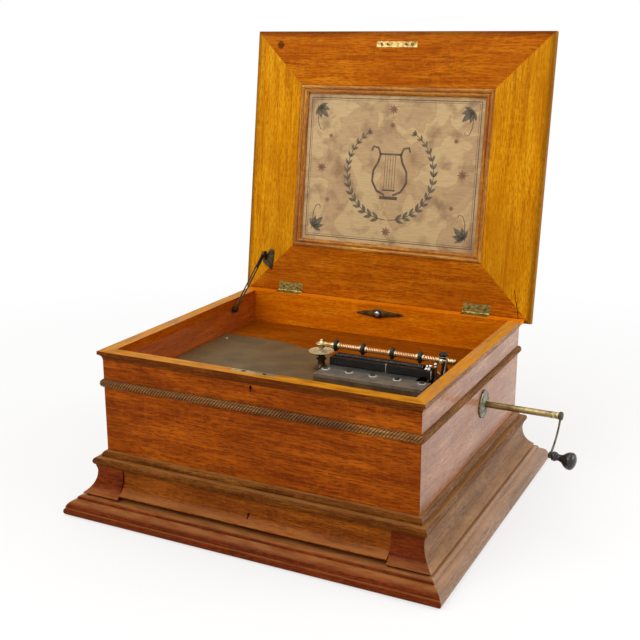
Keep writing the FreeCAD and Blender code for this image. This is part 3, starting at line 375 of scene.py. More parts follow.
def printedPaper(name, paper, wash, stain):
    # Old lithograph paper: beige, with soft brown washes, foxing and a fine laid texture
    material, tree = newMaterial(name)
    space = grainSpace(tree, "lidX")
    ragged = ramp(tree, noise(tree, space, 85, 85, 3.0, 0.8),
                  (0.47, 0.0), (0.485, 0.55), (0.56, 0.35), (0.62, 0.6))
    spots = ramp(tree, noise(tree, space, 30, 30, 6.0), (0.5, 0.0), (0.72, 0.7))
    laid = noise(tree, space, 14, 1.2, 3.0)
    colour = linear(paper)
    for amount, tone in ((ragged, wash), (spots, stain),
                         (ramp(tree, laid, (0.35, 0.22), (0.6, 0.0)), stain)):
        colour = mixed(tree, amount, colour, linear(tone))
    shader = addNode(tree, "ShaderNodeBsdfPrincipled", {
        "Base Color": colour, "Roughness": 0.75, "IOR": 1.45,
        "Normal": bumped(tree, laid, 0.15, 0.1)})
    finishMaterial(tree, shader)
    return material


caseOak = dict(dark="#702c04", middle="#9a4706", pale="#ba5e0e", pore="#4a1a04")
# This tone for the side walls is paler and greyer than the front: painted sheen of the light on the side
# faces
sideOakSheened = dict(dark="#7d4a2a", middle="#a0663c", pale="#bb8458", pore="#5a2f1a", varnish=0.45,
               specular=0.5)
frontOak = dict(dark="#4f1d07", middle="#722c0b", pale="#8c3e12", pore="#321003")
rimOak = dict(dark="#552406", middle="#743a0c", pale="#8e5014", pore="#381604")
waistOak = dict(dark="#542608", middle="#764010", pale="#925a22", pore="#361804")
# These two tones for side faces are paler and greyer than the front ones: painted sheen of the light on the
# sides
waistSideSheened = dict(dark="#5a3c26", middle="#7e5a40", pale="#98765a", pore="#3c2618")
rimSideSheened = dict(dark="#74503a", middle="#98745a", pale="#b08e74", pore="#503424")
lidOak = dict(dark="#9a4602", middle="#bf6404", pale="#d28012", pore="#743302")
stileOak = dict(dark="#b36a04", middle="#d68b04", pale="#e6a51a", pore="#945004")
deckOak = dict(dark="#783602", middle="#914704", pale="#a85a0c", pore="#502604")
# The inside tones are brighter than the outer wood: painted light falling into the case, strongest on the
# back wall
backInsideLit = dict(dark="#c46002", middle="#e57804", pale="#f09416", pore="#9a4c04")
sideInsideLit = dict(dark="#843802", middle="#a64804", pale="#bc6010", pore="#602802")
materials = {
    "caseOakFront": oak("caseOakFront", "x", wearAndTopLight="#b07038", inside=backInsideLit, **caseOak),
    # The side walls take a paler, greyer tone than the front: painted sheen of the light on them
    "caseOakSideSheened": oak("caseOakSideSheened", "y", wearAndTopLight="#b07038", shift=(0.31, 0.17, 0.05), inside=sideInsideLit,
                       **sideOakSheened),
    "baseOakFront": oak("baseOakFront", "x", wearAndTopLight="#a86c3c", shift=(0.1, 0.4, 0.2), **frontOak),
    "drawerOak": oak("drawerOak", "x", dark="#622c08", middle="#8c460c", pale="#a85e16",
                     pore="#3a1806", wearAndTopLight="#a86c3c", shift=(0.6, 0.4, 0.7)),
    # The side boards of the base are paler and greyer than its front: painted sheen of the light on them
    "baseOakSideSheened": oak("baseOakSideSheened", "y", dark="#684628", middle="#8c6440", pale="#a67e58",
                       pore="#44281a", wearAndTopLight="#ac7e56", shift=(0.7, 0.2, 0.1), varnish=0.3,
                       specular=0.35),
    "coveOakSideSheened": oak("coveOakSideSheened", "y", dark="#644224", middle="#8a6038", pale="#a27a50",
                       pore="#40281a", wearAndTopLight="#a87c54", shift=(0.2, 0.2, 0.5), varnish=0.1,
                       specular=0.15),
    "mouldingOak": oak("mouldingOak", "frame", wearAndTopLight="#9c6a38", wearAndTopLightFrom=0.75, shift=(0.2, 0.9, 0.4),
                       sides=waistSideSheened, **waistOak),
    "rimOak": oak("rimOak", "frame", wearAndTopLight="#cc8416", wearAndTopLightFrom=0.9, shift=(0.5, 0.9, 0.1),
                  sides=rimSideSheened, inside=sideInsideLit, behind=backInsideLit, **rimOak),
    "ropeOak": oak("ropeOak", "frame", dark="#54300f", middle="#8c5826", pale="#b4803e", pore="#2e1a0a",
                   gloss=0.38, varnish=0.06, specular=0.14),
    "lidRailOak": oak("lidRailOak", "lidX", shift=(0.5, 0.1, 0.9), flawed=True, **lidOak),
    "lidStileOak": oak("lidStileOak", "lidY", shift=(0.9, 0.6, 0.3), flawed=True, **stileOak),
    "beadOak": oak("beadOak", "lidFrame", dark="#84400a", middle="#b87212", pale="#e0a23c",
                   pore="#5c2a04", varnish=0.15, specular=0.2, gloss=0.24),
    "deckOak": oak("deckOak", "x", shift=(0.3, 0.7, 0.6), **deckOak),
    "drawerPine": oak("drawerPine", "y", dark="#9a7448", middle="#b8905c", pale="#cfac78",
                      pore="#84603a", gloss=0.5),
    "oldPaper": printedPaper("oldPaper", "#caab7a", "#a9835e", "#7c5c3e"),
    "brownInk": metal("brownInk", "#4e3c2e", "#6c5642", rough=0.7, metallic=0.0, dirt=0.3,
                      tarnish="#9a7c58"),
    "oliveInk": metal("oliveInk", "#524a3a", "#6e6450", rough=0.7, metallic=0.0, dirt=0.35,
                      tarnish="#9a8058"),
    "redInk": metal("redInk", "#80503a", "#946a50", rough=0.7, metallic=0.0, dirt=0.35,
                    tarnish="#a08058"),
    "agedBrass": metal("agedBrass", "#bfa368", "#8c7340", rough=0.28),
    "hingeBrass": metal("hingeBrass", "#a88f4e", "#6e5a2a", rough=0.34, patch=5.0),
    "lockBrass": metal("lockBrass", "#b8a878", "#8c8058", rough=0.3, past=-230.4),
    "paleBrass": metal("paleBrass", "#d4c298", "#a8935e", rough=0.28, dirt=0.35),
    "dishBrass": metal("dishBrass", "#e0d0a8", "#b8a270", rough=0.42, metallic=0.45, dirt=0.4,
                       patch=7.0, tarnish="#7c6840"),
    "washerSteel": metal("washerSteel", "#cfccc2", "#a5a298", rough=0.36, metallic=0.45, dirt=0.3),
    "starSteel": metal("starSteel", "#4a4640", "#181612", rough=0.26, metallic=0.9, patch=2.0, dirt=0.5,
                       tarnish="#0c0a08"),
    "shaftBrass": metal("shaftBrass", "#b09c6c", "#7c6a40", rough=0.3, patch=14.0),
    "copperBar": metal("copperBar", "#d8a878", "#c08650", rough=0.3, dirt=0.25, metallic=0.8,
                       grooves=(257.6, 3.7, 4.3)),
    "rustyPost": metal("rustyPost", "#5a3a20", "#2e1c10", rough=0.42, metallic=0.6, dirt=0.4),
    "bronzedBed": metal("bronzedBed", "#6e5834", "#5c4a2c", rough=0.5, patch=45.0, metallic=0.35,
                        dirt=0.22, tarnish="#3e321e"),
    "combBase": metal("combBase", "#6a5434", "#4e3c24", rough=0.5, patch=20.0, metallic=0.35, dirt=0.3),
    "combSteel": metal("combSteel", "#aeaaa2", "#807d74", rough=0.32, patch=24.0, metallic=0.9),
    "brightSteel": metal("brightSteel", "#d4d2ca", "#a4a29a", rough=0.2, dirt=0.25),
    "blackIron": metal("blackIron", "#161412", "#0a0908", rough=0.4, metallic=0.3, dirt=0.4,
                       tarnish="#060606"),
    "buttonBronze": metal("buttonBronze", "#6a4c1c", "#40290f", rough=0.4, metallic=0.7, dirt=0.4),
    "oiledSteel": metal("oiledSteel", "#5a5040", "#332c22", rough=0.34, metallic=0.85, dirt=0.5),
    "plateSteel": metal("plateSteel", "#94907e", "#57543e", rough=0.3, metallic=0.8, dirt=0.5,
                        patch=7.0, tarnish="#1c1a14"),
    "stayBrown": metal("stayBrown", "#544226", "#32260f", rough=0.38, metallic=0.7, dirt=0.5),
    "ebonised": metal("ebonised", "#221c18", "#120e0c", rough=0.16, metallic=0.0, patch=18.0, dirt=0.2,
                      tarnish="#0a0806"),
    "blueSpring": metal("blueSpring", "#3c4452", "#262c38", rough=0.3),
}
nodeFinish = {
    "caseOakFront": ["case_front", "case_back"],
    "caseOakSideSheened": ["case_left", "case_right"],
    "baseOakFront": ["plinth_front", "plinth_back", "cove_board_back", "cove_blocks_front"],
    "drawerOak": ["drawer_front"],
    "baseOakSideSheened": ["plinth_left", "plinth_right"],
    "coveOakSideSheened": ["cove_board_left", "cove_board_right"],
    "mouldingOak": ["waist_mouldings"],
    "rimOak": ["rim_mouldings"],
    "ropeOak": ["rope_mouldings"],
    "lidRailOak": ["lid_front_rail", "lid_back_rail", "lid_panel"],
    "lidStileOak": ["lid_left_stile", "lid_right_stile"],
    "beadOak": ["lid_bead_frame"],
    "deckOak": ["deck_board"],
    "drawerPine": ["drawer_sides", "drawer_back", "drawer_bottom", "drawer_runners", "bottom_board",
                   "motor_board"],
    "oldPaper": ["lid_print"],
    "agedBrass": ["drawer_lock", "lid_catch_plate", "winding_wheel", "spring_barrel", "drive_gear",
                  "governor", "centre_post"],
    "hingeBrass": ["hinge_case_leaves", "hinge_lid_leaves"],
    "lockBrass": ["case_lock"],
    "shaftBrass": ["crank_shaft"],
    "copperBar": ["pressure_bar"],
    "bronzedBed": ["bed_plate"],
    "combBase": ["comb_base"],
    "combSteel": ["comb", "comb_screws"],
    "brightSteel": ["sprocket", "motor_frame"],
    "blackIron": ["gantry", "bar_bracket", "bar_rollers"],
    "buttonBronze": ["turn_button"],
    "starSteel": ["star_wheels"],
    "oiledSteel": ["crank_arm"],
    "plateSteel": ["crank_escutcheon"],
    "stayBrown": ["stay_arm", "stay_bracket", "stay_stud"],
    "ebonised": ["crank_knob"],
    "blueSpring": ["mainspring"],
}
for finish, names in nodeFinish.items():
    for name in names:
        mesh = nodes[name].data
        mesh.materials.clear()
        mesh.materials.append(materials[finish])
print("materials made,", len(materials))


# Ways of working a piece
def addPiece(name, primitive, **settings):
    bpy.ops.object.select_all(action="DESELECT")
    getattr(bpy.ops.mesh, primitive)(**settings)
    piece = bpy.context.object
    piece.name = piece.data.name = name
    return piece


def activate(piece):
    bpy.ops.object.select_all(action="DESELECT")
    piece.select_set(True)
    bpy.context.view_layer.objects.active = piece


def editing(piece):
    activate(piece)
    bpy.ops.object.mode_set(mode="EDIT")


# In edit mode, selects what passes the test on its middle (and its normal, for faces)
def pick(piece, test, kind="faces"):
    bpy.ops.mesh.select_all(action="DESELECT")
    bpy.ops.mesh.select_mode(type={"faces": "FACE", "edges": "EDGE", "verts": "VERT"}[kind])
    work = bmesh.from_edit_mesh(piece.data)
    for item in getattr(work, kind):
        if kind == "faces":
            item.select = test(item.calc_center_median(), item.normal)
        elif kind == "edges":
            item.select = test((item.verts[0].co + item.verts[1].co) / 2)
        else:
            item.select = test(item.co)
    work.select_flush_mode()
    bmesh.update_edit_mesh(piece.data)


def useModifier(piece, kind, **settings):
    modifier = piece.modifiers.new(kind.title(), kind)
    for key, value in settings.items():
        setattr(modifier, key, value)
    activate(piece)
    bpy.ops.object.modifier_apply(modifier=modifier.name)


# Puts the place in the mesh, so that the object stands at the origin
def settle(piece, place=None, smooth=None):
    if place is not None:
        piece.data.transform(place)
    activate(piece)
    bpy.ops.object.transform_apply(location=True, rotation=True, scale=True)
    if smooth:
        bpy.ops.object.shade_smooth_by_angle(angle=math.radians(smooth))
    return piece


def copyOf(piece, name, place):
    twin = piece.copy()
    twin.data = piece.data.copy()
    twin.data.transform(place)
    twin.name = twin.data.name = name
    bpy.context.scene.collection.objects.link(twin)
    return twin


def joined(pieces, name):
    bpy.ops.object.select_all(action="DESELECT")
    for piece in pieces:
        piece.select_set(True)
    bpy.context.view_layer.objects.active = pieces[0]
    if len(pieces) > 1:
        bpy.ops.object.join()
    whole = bpy.context.view_layer.objects.active
    whole.name = whole.data.name = name
    return whole


def dress(piece, finish, body, slotName, *replaced):
    piece.data.materials.clear()
    piece.data.materials.append(materials[finish])
    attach(piece, body)
    if replaced:
        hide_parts(*replaced)
    return piece


# A turned piece. The profile is (radius, height) in millimetres, spun round the Z axis.
def turned(name, profile, steps=48, place=None, smooth=40):
    piece = addPiece(name, "primitive_plane_add", size=0.002)
    editing(piece)
    bpy.ops.mesh.merge(type="CENTER")
    here = Vector((0, 0, 0))
    for count, (radius, height) in enumerate(profile):
        there = Vector((radius * mm, 0, height * mm))
        if count:
            bpy.ops.mesh.extrude_vertices_move(TRANSFORM_OT_translate={"value": there - here})
        else:
            bpy.ops.transform.translate(value=there)
        here = there
    bpy.ops.mesh.select_all(action="SELECT")
    bpy.ops.mesh.spin(steps=steps, angle=2 * math.pi, center=(0, 0, 0), axis=(0, 0, 1))
    bpy.ops.mesh.select_all(action="SELECT")
    bpy.ops.mesh.remove_doubles(threshold=0.02 * mm)
    bpy.ops.mesh.normals_make_consistent(inside=False)
    bpy.ops.object.mode_set(mode="OBJECT")
    return settle(piece, place, smooth)


# A flat plate: the outline is in millimetres in XY, and the thickness goes up
def plateFrom(name, outline, thick, place=None, bevel=0.0, smooth=40):
    piece = addPiece(name, "primitive_plane_add", size=0.002)
    editing(piece)
    bpy.ops.mesh.merge(type="CENTER")
    points = [Vector((x * mm, y * mm, 0)) for x, y in outline]
    bpy.ops.transform.translate(value=points[0])
    for here, there in zip(points, points[1:]):
        bpy.ops.mesh.extrude_vertices_move(TRANSFORM_OT_translate={"value": there - here})
    ends = (points[0], points[-1])
    pick(piece, lambda point: min((point - end).length for end in ends) < 0.002 * mm, "verts")
    bpy.ops.mesh.edge_face_add()
    bpy.ops.mesh.select_all(action="SELECT")
    bpy.ops.mesh.edge_face_add()
    bpy.ops.mesh.extrude_region_move(TRANSFORM_OT_translate={"value": (0, 0, thick * mm)})
    bpy.ops.mesh.select_all(action="SELECT")
    bpy.ops.mesh.normals_make_consistent(inside=False)
    bpy.ops.object.mode_set(mode="OBJECT")
    if bevel:
        useModifier(piece, "BEVEL", width=bevel * mm, segments=2, limit_method="ANGLE")
    return settle(piece, place, smooth)


# The outline of a band of one width along a line of points
def strip(points, width):
    left, right = [], []
    for n, (x, y) in enumerate(points):
        ax, ay = points[max(n - 1, 0)]
        bx, by = points[min(n + 1, len(points) - 1)]
        long = math.hypot(bx - ax, by - ay)
        ox, oy = (ay - by) / long * width / 2, (bx - ax) / long * width / 2
        left.append((x + ox, y + oy))
        right.append((x - ox, y - oy))
    return left + right[::-1]


# A twisted rod along X from the origin: a fluted circle carried along a screw
def twisted(name, radius, groove, strands, lead, length, hand, pointsPerStrand=6, stepLength=1.6,
            smooth=60):
    count = strands * pointsPerStrand
    piece = addPiece(name, "primitive_circle_add", vertices=count, radius=radius * mm,
                     rotation=(0, math.pi / 2, 0))
    settle(piece)
    editing(piece)
    flute = 2 * math.pi / strands

    def inGroove(point):
        angle = math.atan2(point.z, point.y) % flute
        return min(angle, flute - angle) < flute / pointsPerStrand * 0.6
    pick(piece, inGroove, "verts")
    bpy.ops.transform.resize(value=(1, 1 - groove / radius, 1 - groove / radius),
                             center_override=(0, 0, 0))
    bpy.ops.object.mode_set(mode="OBJECT")
    steps = max(8, round(length / stepLength))
    useModifier(piece, "SCREW", axis="X", angle=hand * 2 * math.pi * length / lead,
                screw_offset=length * mm, steps=steps, render_steps=steps, use_merge_vertices=False)
    editing(piece)
    for end in (0, length):
        pick(piece, lambda point: abs(point.x - end * mm) < 0.01 * mm, "verts")
        bpy.ops.mesh.edge_face_add()
    bpy.ops.mesh.select_all(action="SELECT")
    bpy.ops.mesh.normals_make_consistent(inside=False)
    bpy.ops.object.mode_set(mode="OBJECT")
    return settle(piece, None, smooth)


# Bisects a piece and throws away the side that the normal points to
def cutAway(piece, point, normal):
    editing(piece)
    bpy.ops.mesh.select_mode(type="VERT")
    bpy.ops.mesh.select_all(action="SELECT")
    bpy.ops.mesh.bisect(plane_co=[v * mm for v in point], plane_no=normal, use_fill=True,
                        clear_outer=True)
    bpy.ops.object.mode_set(mode="OBJECT")


# Rope mouldings: 7 fine strands, 5.3 mm apart along the rod
rope = dict(radius=7.6, groove=2.0, strands=7, lead=37.0, sunk=2.4)


def makeRope():
    lengths = []
    reach = 8.0
    for count, (halfLong, halfDeep) in enumerate(
            ((case["halfX"], case["halfY"]), (case["halfY"], case["halfX"])) * 2):
        rod = twisted("ropeLength", rope["radius"], rope["groove"], rope["strands"], rope["lead"],
                      2 * (halfLong + reach), -1, stepLength=2.2)
        rod.data.transform(Matrix.Translation((-(halfLong + reach) * mm, (rope["sunk"] - halfDeep) * mm,
                                               case["ropeZ"] * mm)))
        cutAway(rod, (0, -halfDeep, 0), (0, 1, 0))
        cutAway(rod, (halfLong, -halfDeep, 0), (1, 1, 0))
        cutAway(rod, (-halfLong, -halfDeep, 0), (-1, 1, 0))
        settle(rod, Matrix.Rotation(math.pi / 2 * count, 4, "Z"))
        lengths.append(rod)
    whole = joined(lengths, "ropeMoulding")
    dress(whole, "ropeOak", "case", "outer_oak", "rope_mouldings")


makeRope()
print("rope moulding made")


hub = dict(seat=245.0, rim=21.6)
alongX = Matrix.Rotation(math.pi / 2, 4, "Y")
acrossX = Matrix(((0, 0, 1, 0), (1, 0, 0, 0), (0, 1, 0, 0), (0, 0, 0, 1)))


# Hub: a shallow pale dish that the disc lies on, a turned post under it and the spindle in it
def makeHub():
    low = case["bedTop"] + 0.05
    post = turned("hubPost", [
        (0, low), (13, low), (13, low + 1.2), (11.4, low + 2.4), (8.6, low + 3.2), (7.2, low + 5),
        (6.2, low + 9), (5.6, low + 13), (6.4, low + 15), (8.6, low + 16.4), (8.8, low + 18),
        (6.2, low + 19.4), (5.4, low + 24), (6.6, low + 26.6), (9.4, low + 27.9), (0, low + 27.9)],
        steps=36, smooth=35)
    dress(post, "rustyPost", "case", "brass", "centre_post")
    top = hub["seat"]
    dish = turned("hubDish", [
        (0, top - 3.2), (9.6, top - 3.2), (14.5, top - 2.9), (18.4, top - 2.1), (20.8, top - 1.0),
        (hub["rim"], top - 0.3), (hub["rim"] - 0.1, top), (20.6, top), (18.8, top - 0.6),
        (14.5, top - 1.3), (9.0, top - 1.7), (6.6, top - 1.7), (6.2, top - 0.4), (4.4, top - 0.1),
        (0, top - 0.1)], steps=48, smooth=35)
    dress(dish, "dishBrass", "case", "brass", "centre_post")
    spindle = turned("hubSpindle", [(0, top - 0.5), (3.0, top - 0.5), (3.0, top + 5.2), (2.2, top + 6.8),
                                    (0, top + 7.0)], steps=24, smooth=35)
    dress(spindle, "brightSteel", "case", "steel", "centre_post")
    screw = turned("hubSetScrew", [(0, 7.5), (2.4, 7.5), (2.4, 10.2), (1.6, 11.2), (0, 11.3)], steps=16,
                   place=at(0, 0, (top - 8.5))
                   @ turnBy(-112, "Z") @ alongX)
    dress(screw, "brightSteel", "case", "steel", "centre_post")


makeHub()
print("hub made")


# Pressure bar: a twisted copper-bronze rod with plain brass ends, collars and fittings
bar = dict(z=257.6, radius=4.5, groove=1.1, strands=4, lead=17.0, pivot=215.0, tail=236.0,
           rollers=(27.7, 76.7, 128.5, 176.7), rollerRadius=10.0, collar=5.6)


def atBar(x, z=0.0):
    return at(x, 0, (bar["z"] + z))


def makeBar():
    start, end = 34.0, bar["pivot"] - 9
    rod = twisted("barTwist", bar["radius"], bar["groove"], bar["strands"], bar["lead"], end - start,
                  1, stepLength=1.2)
    settle(rod, atBar(start))
    dress(rod, "copperBar", "pressure_bar", "brass", "pressure_bar")
    fittings = [turned("barNose", [(0, 3.6), (2.6, 3.8), (3.4, 5.4), (3.6, 8), (3.2, 12), (3.4, 16),
                                   (4.4, 20), (4.6, 34.5), (0, 34.5)], steps=24,
                       place=atBar(0) @ alongX)]
    for number, x in enumerate(bar["rollers"]):
        for side, (near, far) in enumerate(((-7.0, -3.6), (3.6, 7.0))):
            if number == 0 and side == 0:
                continue
            fittings.append(turned(
                f"barCollar{number}{side}",
                [(4.2, near), (5.2, near), (bar["collar"], near + 0.8), (bar["collar"], far - 0.8),
                 (5.2, far), (4.2, far)], steps=24, place=atBar(x) @ alongX))
    pivot, tail = bar["pivot"], bar["tail"]
    fittings.append(turned("barTail", [
        (0, pivot - 9.5), (4.6, pivot - 9.5), (4.8, pivot - 7), (4.2, pivot - 5), (4.2, pivot + 6),
        (4.9, pivot + 7), (4.9, pivot + 9), (3.7, pivot + 10), (3.7, pivot + 11.5), (4.9, pivot + 12.5),
        (4.9, pivot + 14.5), (3.7, pivot + 15.5), (3.7, pivot + 17), (4.8, pivot + 18), (4.4, tail - 1),
        (3.4, tail), (0, tail)], steps=24, place=atBar(0) @ alongX))
    fittings.append(turned("barEye", [
        (3.6, -7.3), (5.4, -7.3), (5.6, -6.4), (5.0, -3.0), (5.4, -1.0), (7.4, -0.7), (9.4, -0.5),
        (10.0, 0.1), (9.4, 0.8), (7.4, 1.1), (6.0, 2.0), (4.2, 3.0), (2.4, 4.2), (1.5, 5.4), (2.3, 6.4),
        (1.9, 7.2), (0, 7.6), (0, -1), (3.6, -1)], steps=32, place=atBar(0)))
    brassWork = joined(fittings, "barBrass")
    dress(brassWork, "paleBrass", "pressure_bar", "brass", "pressure_bar")
    cap = turned("barCap", [(0, 3.4), (3.0, 3.4), (3.0, 7.6), (6.0, 8.0), (7.0, 9.0), (7.0, 11.0),
                            (6.0, 12.6), (3.6, 13.3), (0, 13.4)], steps=28, place=atBar(pivot))
    dress(cap, "blackIron", "pressure_bar", "black_iron", "pressure_bar")
    ring = turned("barCapRing", [(4.6, 6.2), (7.3, 6.4), (7.5, 7.0), (7.3, 7.6), (4.6, 7.8), (2.8, 7.0)],
                  steps=28, place=atBar(pivot))
    dress(ring, "brightSteel", "pressure_bar", "steel", "pressure_bar")


def makeRollers():
    r = bar["rollerRadius"]
    profile = [(4.6, -2.7), (6.6, -2.7), (7.2, -1.9), (8.6, -1.7), (9.4, -1.5), (r, -0.9), (r, 0.9),
               (9.4, 1.5), (8.6, 1.7), (7.2, 1.9), (6.6, 2.7), (4.6, 2.7), (4.6, -2.7)]
    wheels = [turned(f"barRoller{n}", profile, steps=36, place=atBar(x) @ alongX)
              for n, x in enumerate(bar["rollers"])]
    dress(joined(wheels, "barRollers"), "blackIron", "bar_rollers", "black_iron", "bar_rollers")


makeBar()
makeRollers()
print("pressure bar made")


# Bracket of the pressure bar: a foot, two slim ears, the hinge pin, a ball screw and a fork
bracket = dict(left=204.0, right=225.5, halfDeep=14.0, footTop=228.0, earIn=5.3, earThick=3.4,
               ball=(206.9, -12.0, 253.4), ballRadius=3.2, forkY=-11.0)
toFront = Matrix.Rotation(math.pi / 2, 4, "X")


def makeBracket():
    x0, x1, pivot, z = bracket["left"], bracket["right"], bar["pivot"], bar["z"]
    low = case["bedTop"] + 0.05
    foot = addPiece("bracketFoot", "primitive_cube_add", size=1)
    foot.data.transform(Matrix.Diagonal(((x1 - x0) * mm, 2 * bracket["halfDeep"] * mm,
                                         (bracket["footTop"] - low) * mm, 1)))
    foot.data.transform(at((x0 + x1) / 2, 0, (bracket["footTop"] + low) / 2))
    editing(foot)
    pick(foot, lambda point, normal: normal.z > 0.9)
    bpy.ops.mesh.inset(thickness=2.2 * mm)
    bpy.ops.transform.translate(value=(0, 0, 1.6 * mm))
    bpy.ops.object.mode_set(mode="OBJECT")
    useModifier(foot, "BEVEL", width=0.8 * mm, segments=2, limit_method="ANGLE")
    settle(foot, None, 40)
    outline = [(pivot - 6.2, 226), (pivot + 8.5, 226), (pivot + 6.4, 234), (pivot + 4.6, 245),
               (pivot + 4.4, z), (pivot + 3.1, z + 3.1), (pivot, z + 4.4), (pivot - 3.1, z + 3.1),
               (pivot - 4.4, z), (pivot - 4.4, 245), (pivot - 5.2, 234)]
    ears = [plateFrom(f"bracketEar{n}", outline, bracket["earThick"],
                      at(0, y, 0) @ toFront, 0.5)
            for n, y in enumerate((-bracket["earIn"], bracket["earIn"] + bracket["earThick"]))]
    dress(joined([foot] + ears, "barBracketCast"), "blackIron", "case", "black_iron", "bar_bracket")
    pin = turned("bracketPin", [(0, -10.6), (2.6, -10.6), (3.6, -10.0), (3.6, -9.0), (2.0, -8.8),
                                (2.0, 8.8), (3.6, 9.0), (3.6, 10.0), (2.6, 10.6), (0, 10.6)],
                 steps=24, place=at(pivot, 0, z) @ toFront)
    bx, by, bz = bracket["ball"]
    ball = turned("bracketBallScrew", [
        (0, 227 - bz), (1.6, 227 - bz), (1.6, -4.4), (2.2, -3.6), (1.7, -2.8)]
        + [(bracket["ballRadius"] * math.cos(math.radians(a)),
            bracket["ballRadius"] * math.sin(math.radians(a))) for a in range(-50, 90, 20)]
        + [(0, bracket["ballRadius"])], steps=24, place=at(bx, by, bz))
    middle = [(218.5, 226), (221.0, 236), (222.4, 246), (224.0, 255), (225.4, 262), (225.6, 267)]
    fork = plateFrom("bracketFork", strip(middle, 2.6), 1.8,
                     at(0, bracket["forkY"], 0) @ toFront, 0.4)
    dress(joined([pin, ball, fork], "barBracketSteel"), "brightSteel", "case", "steel", "bar_bracket")
    plates = []
    for n, (x, top) in enumerate(((124.4, 244.6), (201.4, 242.6))):
        side = [(-20.0, 229), (-15, 229), (-15, top - 1), (-16, top), (-18.8, top), (-20.0, top - 1.4)]
        plates.append(plateFrom(f"bearingPlate{n}", side, 0.9, at(x, 0, 0)
                                @ acrossX, 0.3))
    dress(joined(plates, "bearingPlates"), "washerSteel", "case", "steel")


makeBracket()
print("bar bracket made")


# Slotted screws: a bright washer under each comb screw, and dark heads on the hinges, catch and bed
combScrew = dict(x=30.0, pitch=41.75, y=-45.0, top=230.0, washer=7.0, washerThick=1.2, head=4.5,
                 headHigh=2.9, slot=1.3)
smallScrew = dict(head=2.9, high=0.3, slot=0.7, bedHead=4.4,
                  bed=((-236.6, 81.7), (-236.0, -200.0), (196.0, -200.0)),
                  hinges=((-204.0, 237.0), (-174.0, 237.0), (174.0, 237.0), (204.0, 237.0)),
                  catch=((-29.5, -225.0), (29.5, -225.0)))


def slottedHead(name, radius, high, slot):
    head = turned(name, [(0, 0), (radius, 0), (radius, high * 0.5), (radius * 0.88, high * 0.8),
                         (radius * 0.5, high * 0.97), (0, high)], steps=20)
    cutter = addPiece("slotCutter", "primitive_cube_add", size=1)
    cutter.data.transform(Matrix.Diagonal((radius * 2.6 * mm, slot * mm, high * mm, 1)))
    cutter.data.transform(at(0, 0, high * 1.02))
    useModifier(head, "BOOLEAN", object=cutter, operation="DIFFERENCE", solver="EXACT")
    bpy.data.objects.remove(cutter)
    return head


def copiedTo(model, name, places):
    copies = [copyOf(model, f"{name}{n}", place) for n, place in enumerate(places)]
    bpy.data.objects.remove(model)
    return joined(copies, name)


def makeScrews():
    spots = [(combScrew["x"] + combScrew["pitch"] * n) * mm for n in range(5)]
    y, top = combScrew["y"] * mm, combScrew["top"] * mm
    r, t = combScrew["washer"], combScrew["washerThick"]
    washer = turned("combWasher", [(0, 0), (r - 0.3, 0), (r, 0.3), (r, t - 0.4), (r - 0.5, t),
                                   (combScrew["head"], t + 0.1), (0, t + 0.1)], steps=28)
    washers = copiedTo(washer, "combWashers", [Matrix.Translation((x, y, top)) for x in spots])
    dress(washers, "washerSteel", "case", "steel", "comb_screws")
    head = slottedHead("combHead", combScrew["head"], combScrew["headHigh"], combScrew["slot"])
    heads = copiedTo(head, "combHeads", [
        Matrix.Translation((x, y, top + t * mm)) @ turnBy(turn, "Z")
        for x, turn in zip(spots, (82, 97, 70, 112, 90))])
    dress(heads, "oiledSteel", "case", "steel", "comb_screws")
    bedHead = slottedHead("bedHead", smallScrew["bedHead"], 1.8, 1.1)
    beds = copiedTo(bedHead, "bedScrews", [
        at(x, yy, case["bedTop"]) @ Matrix.Rotation(turn, 4, "Z")
        for (x, yy), turn in zip(smallScrew["bed"], (0.4, 1.2, 2.1))])
    dress(beds, "brightSteel", "case", "steel")
    small = slottedHead("lidHead", smallScrew["head"], smallScrew["high"], smallScrew["slot"])
    places = [openLid @ at(x, yy, (case["lidLow"] + 0.2))
              @ Matrix.Rotation(math.pi, 4, "X") @ Matrix.Rotation(n * 0.9, 4, "Z")
              for n, (x, yy) in enumerate(smallScrew["hinges"] + smallScrew["catch"])]
    dress(copiedTo(small, "lidScrews", places), "stayBrown", "lid", "dark_steel")


makeScrews()
print("screws made")


# Turn button on the back wall: a pointed bronze plate, a dark ring and a pale knob
button = dict(x=8.0, z=257.0, wall=219.6, left=-34.5, right=57.8, tilt=2.7)


def makeButton():
    x, z = button["x"], button["z"]
    place = (at(x, button["wall"], z)
             @ turnBy(-button["tilt"], "Y") @ toFront)
    left, right = button["left"] - x, button["right"] - x
    upper = [(left, 1.2), (left * 0.78, 3.2), (left * 0.5, 4.8), (left * 0.26, 6.4), (-6, 8.0), (0, 8.8),
             (6, 8.0), (right * 0.26, 6.4), (right * 0.5, 4.8), (right * 0.78, 3.2), (right, 1.2)]
    plate = plateFrom("buttonPlate", upper + [(a, -b) for a, b in reversed(upper)], 2.2, place, 0.5)
    dress(plate, "buttonBronze", "turn_button", "brass", "turn_button")
    ring = turned("buttonRing", [(0, 2.0), (7.6, 2.0), (7.8, 2.5), (7.2, 3.0), (0, 3.0)], steps=28,
                  place=place)
    dress(ring, "blackIron", "turn_button", "black_iron", "turn_button")
    knob = turned("buttonKnob", [(0, 2.9), (3.4, 2.9), (3.2, 3.8), (4.8, 4.6), (5.0, 5.4), (4.2, 6.2),
                                 (2.0, 6.6), (0, 6.7)], steps=28, place=place)
    dress(knob, "brightSteel", "turn_button", "steel", "turn_button")


makeButton()
print("turn button made")


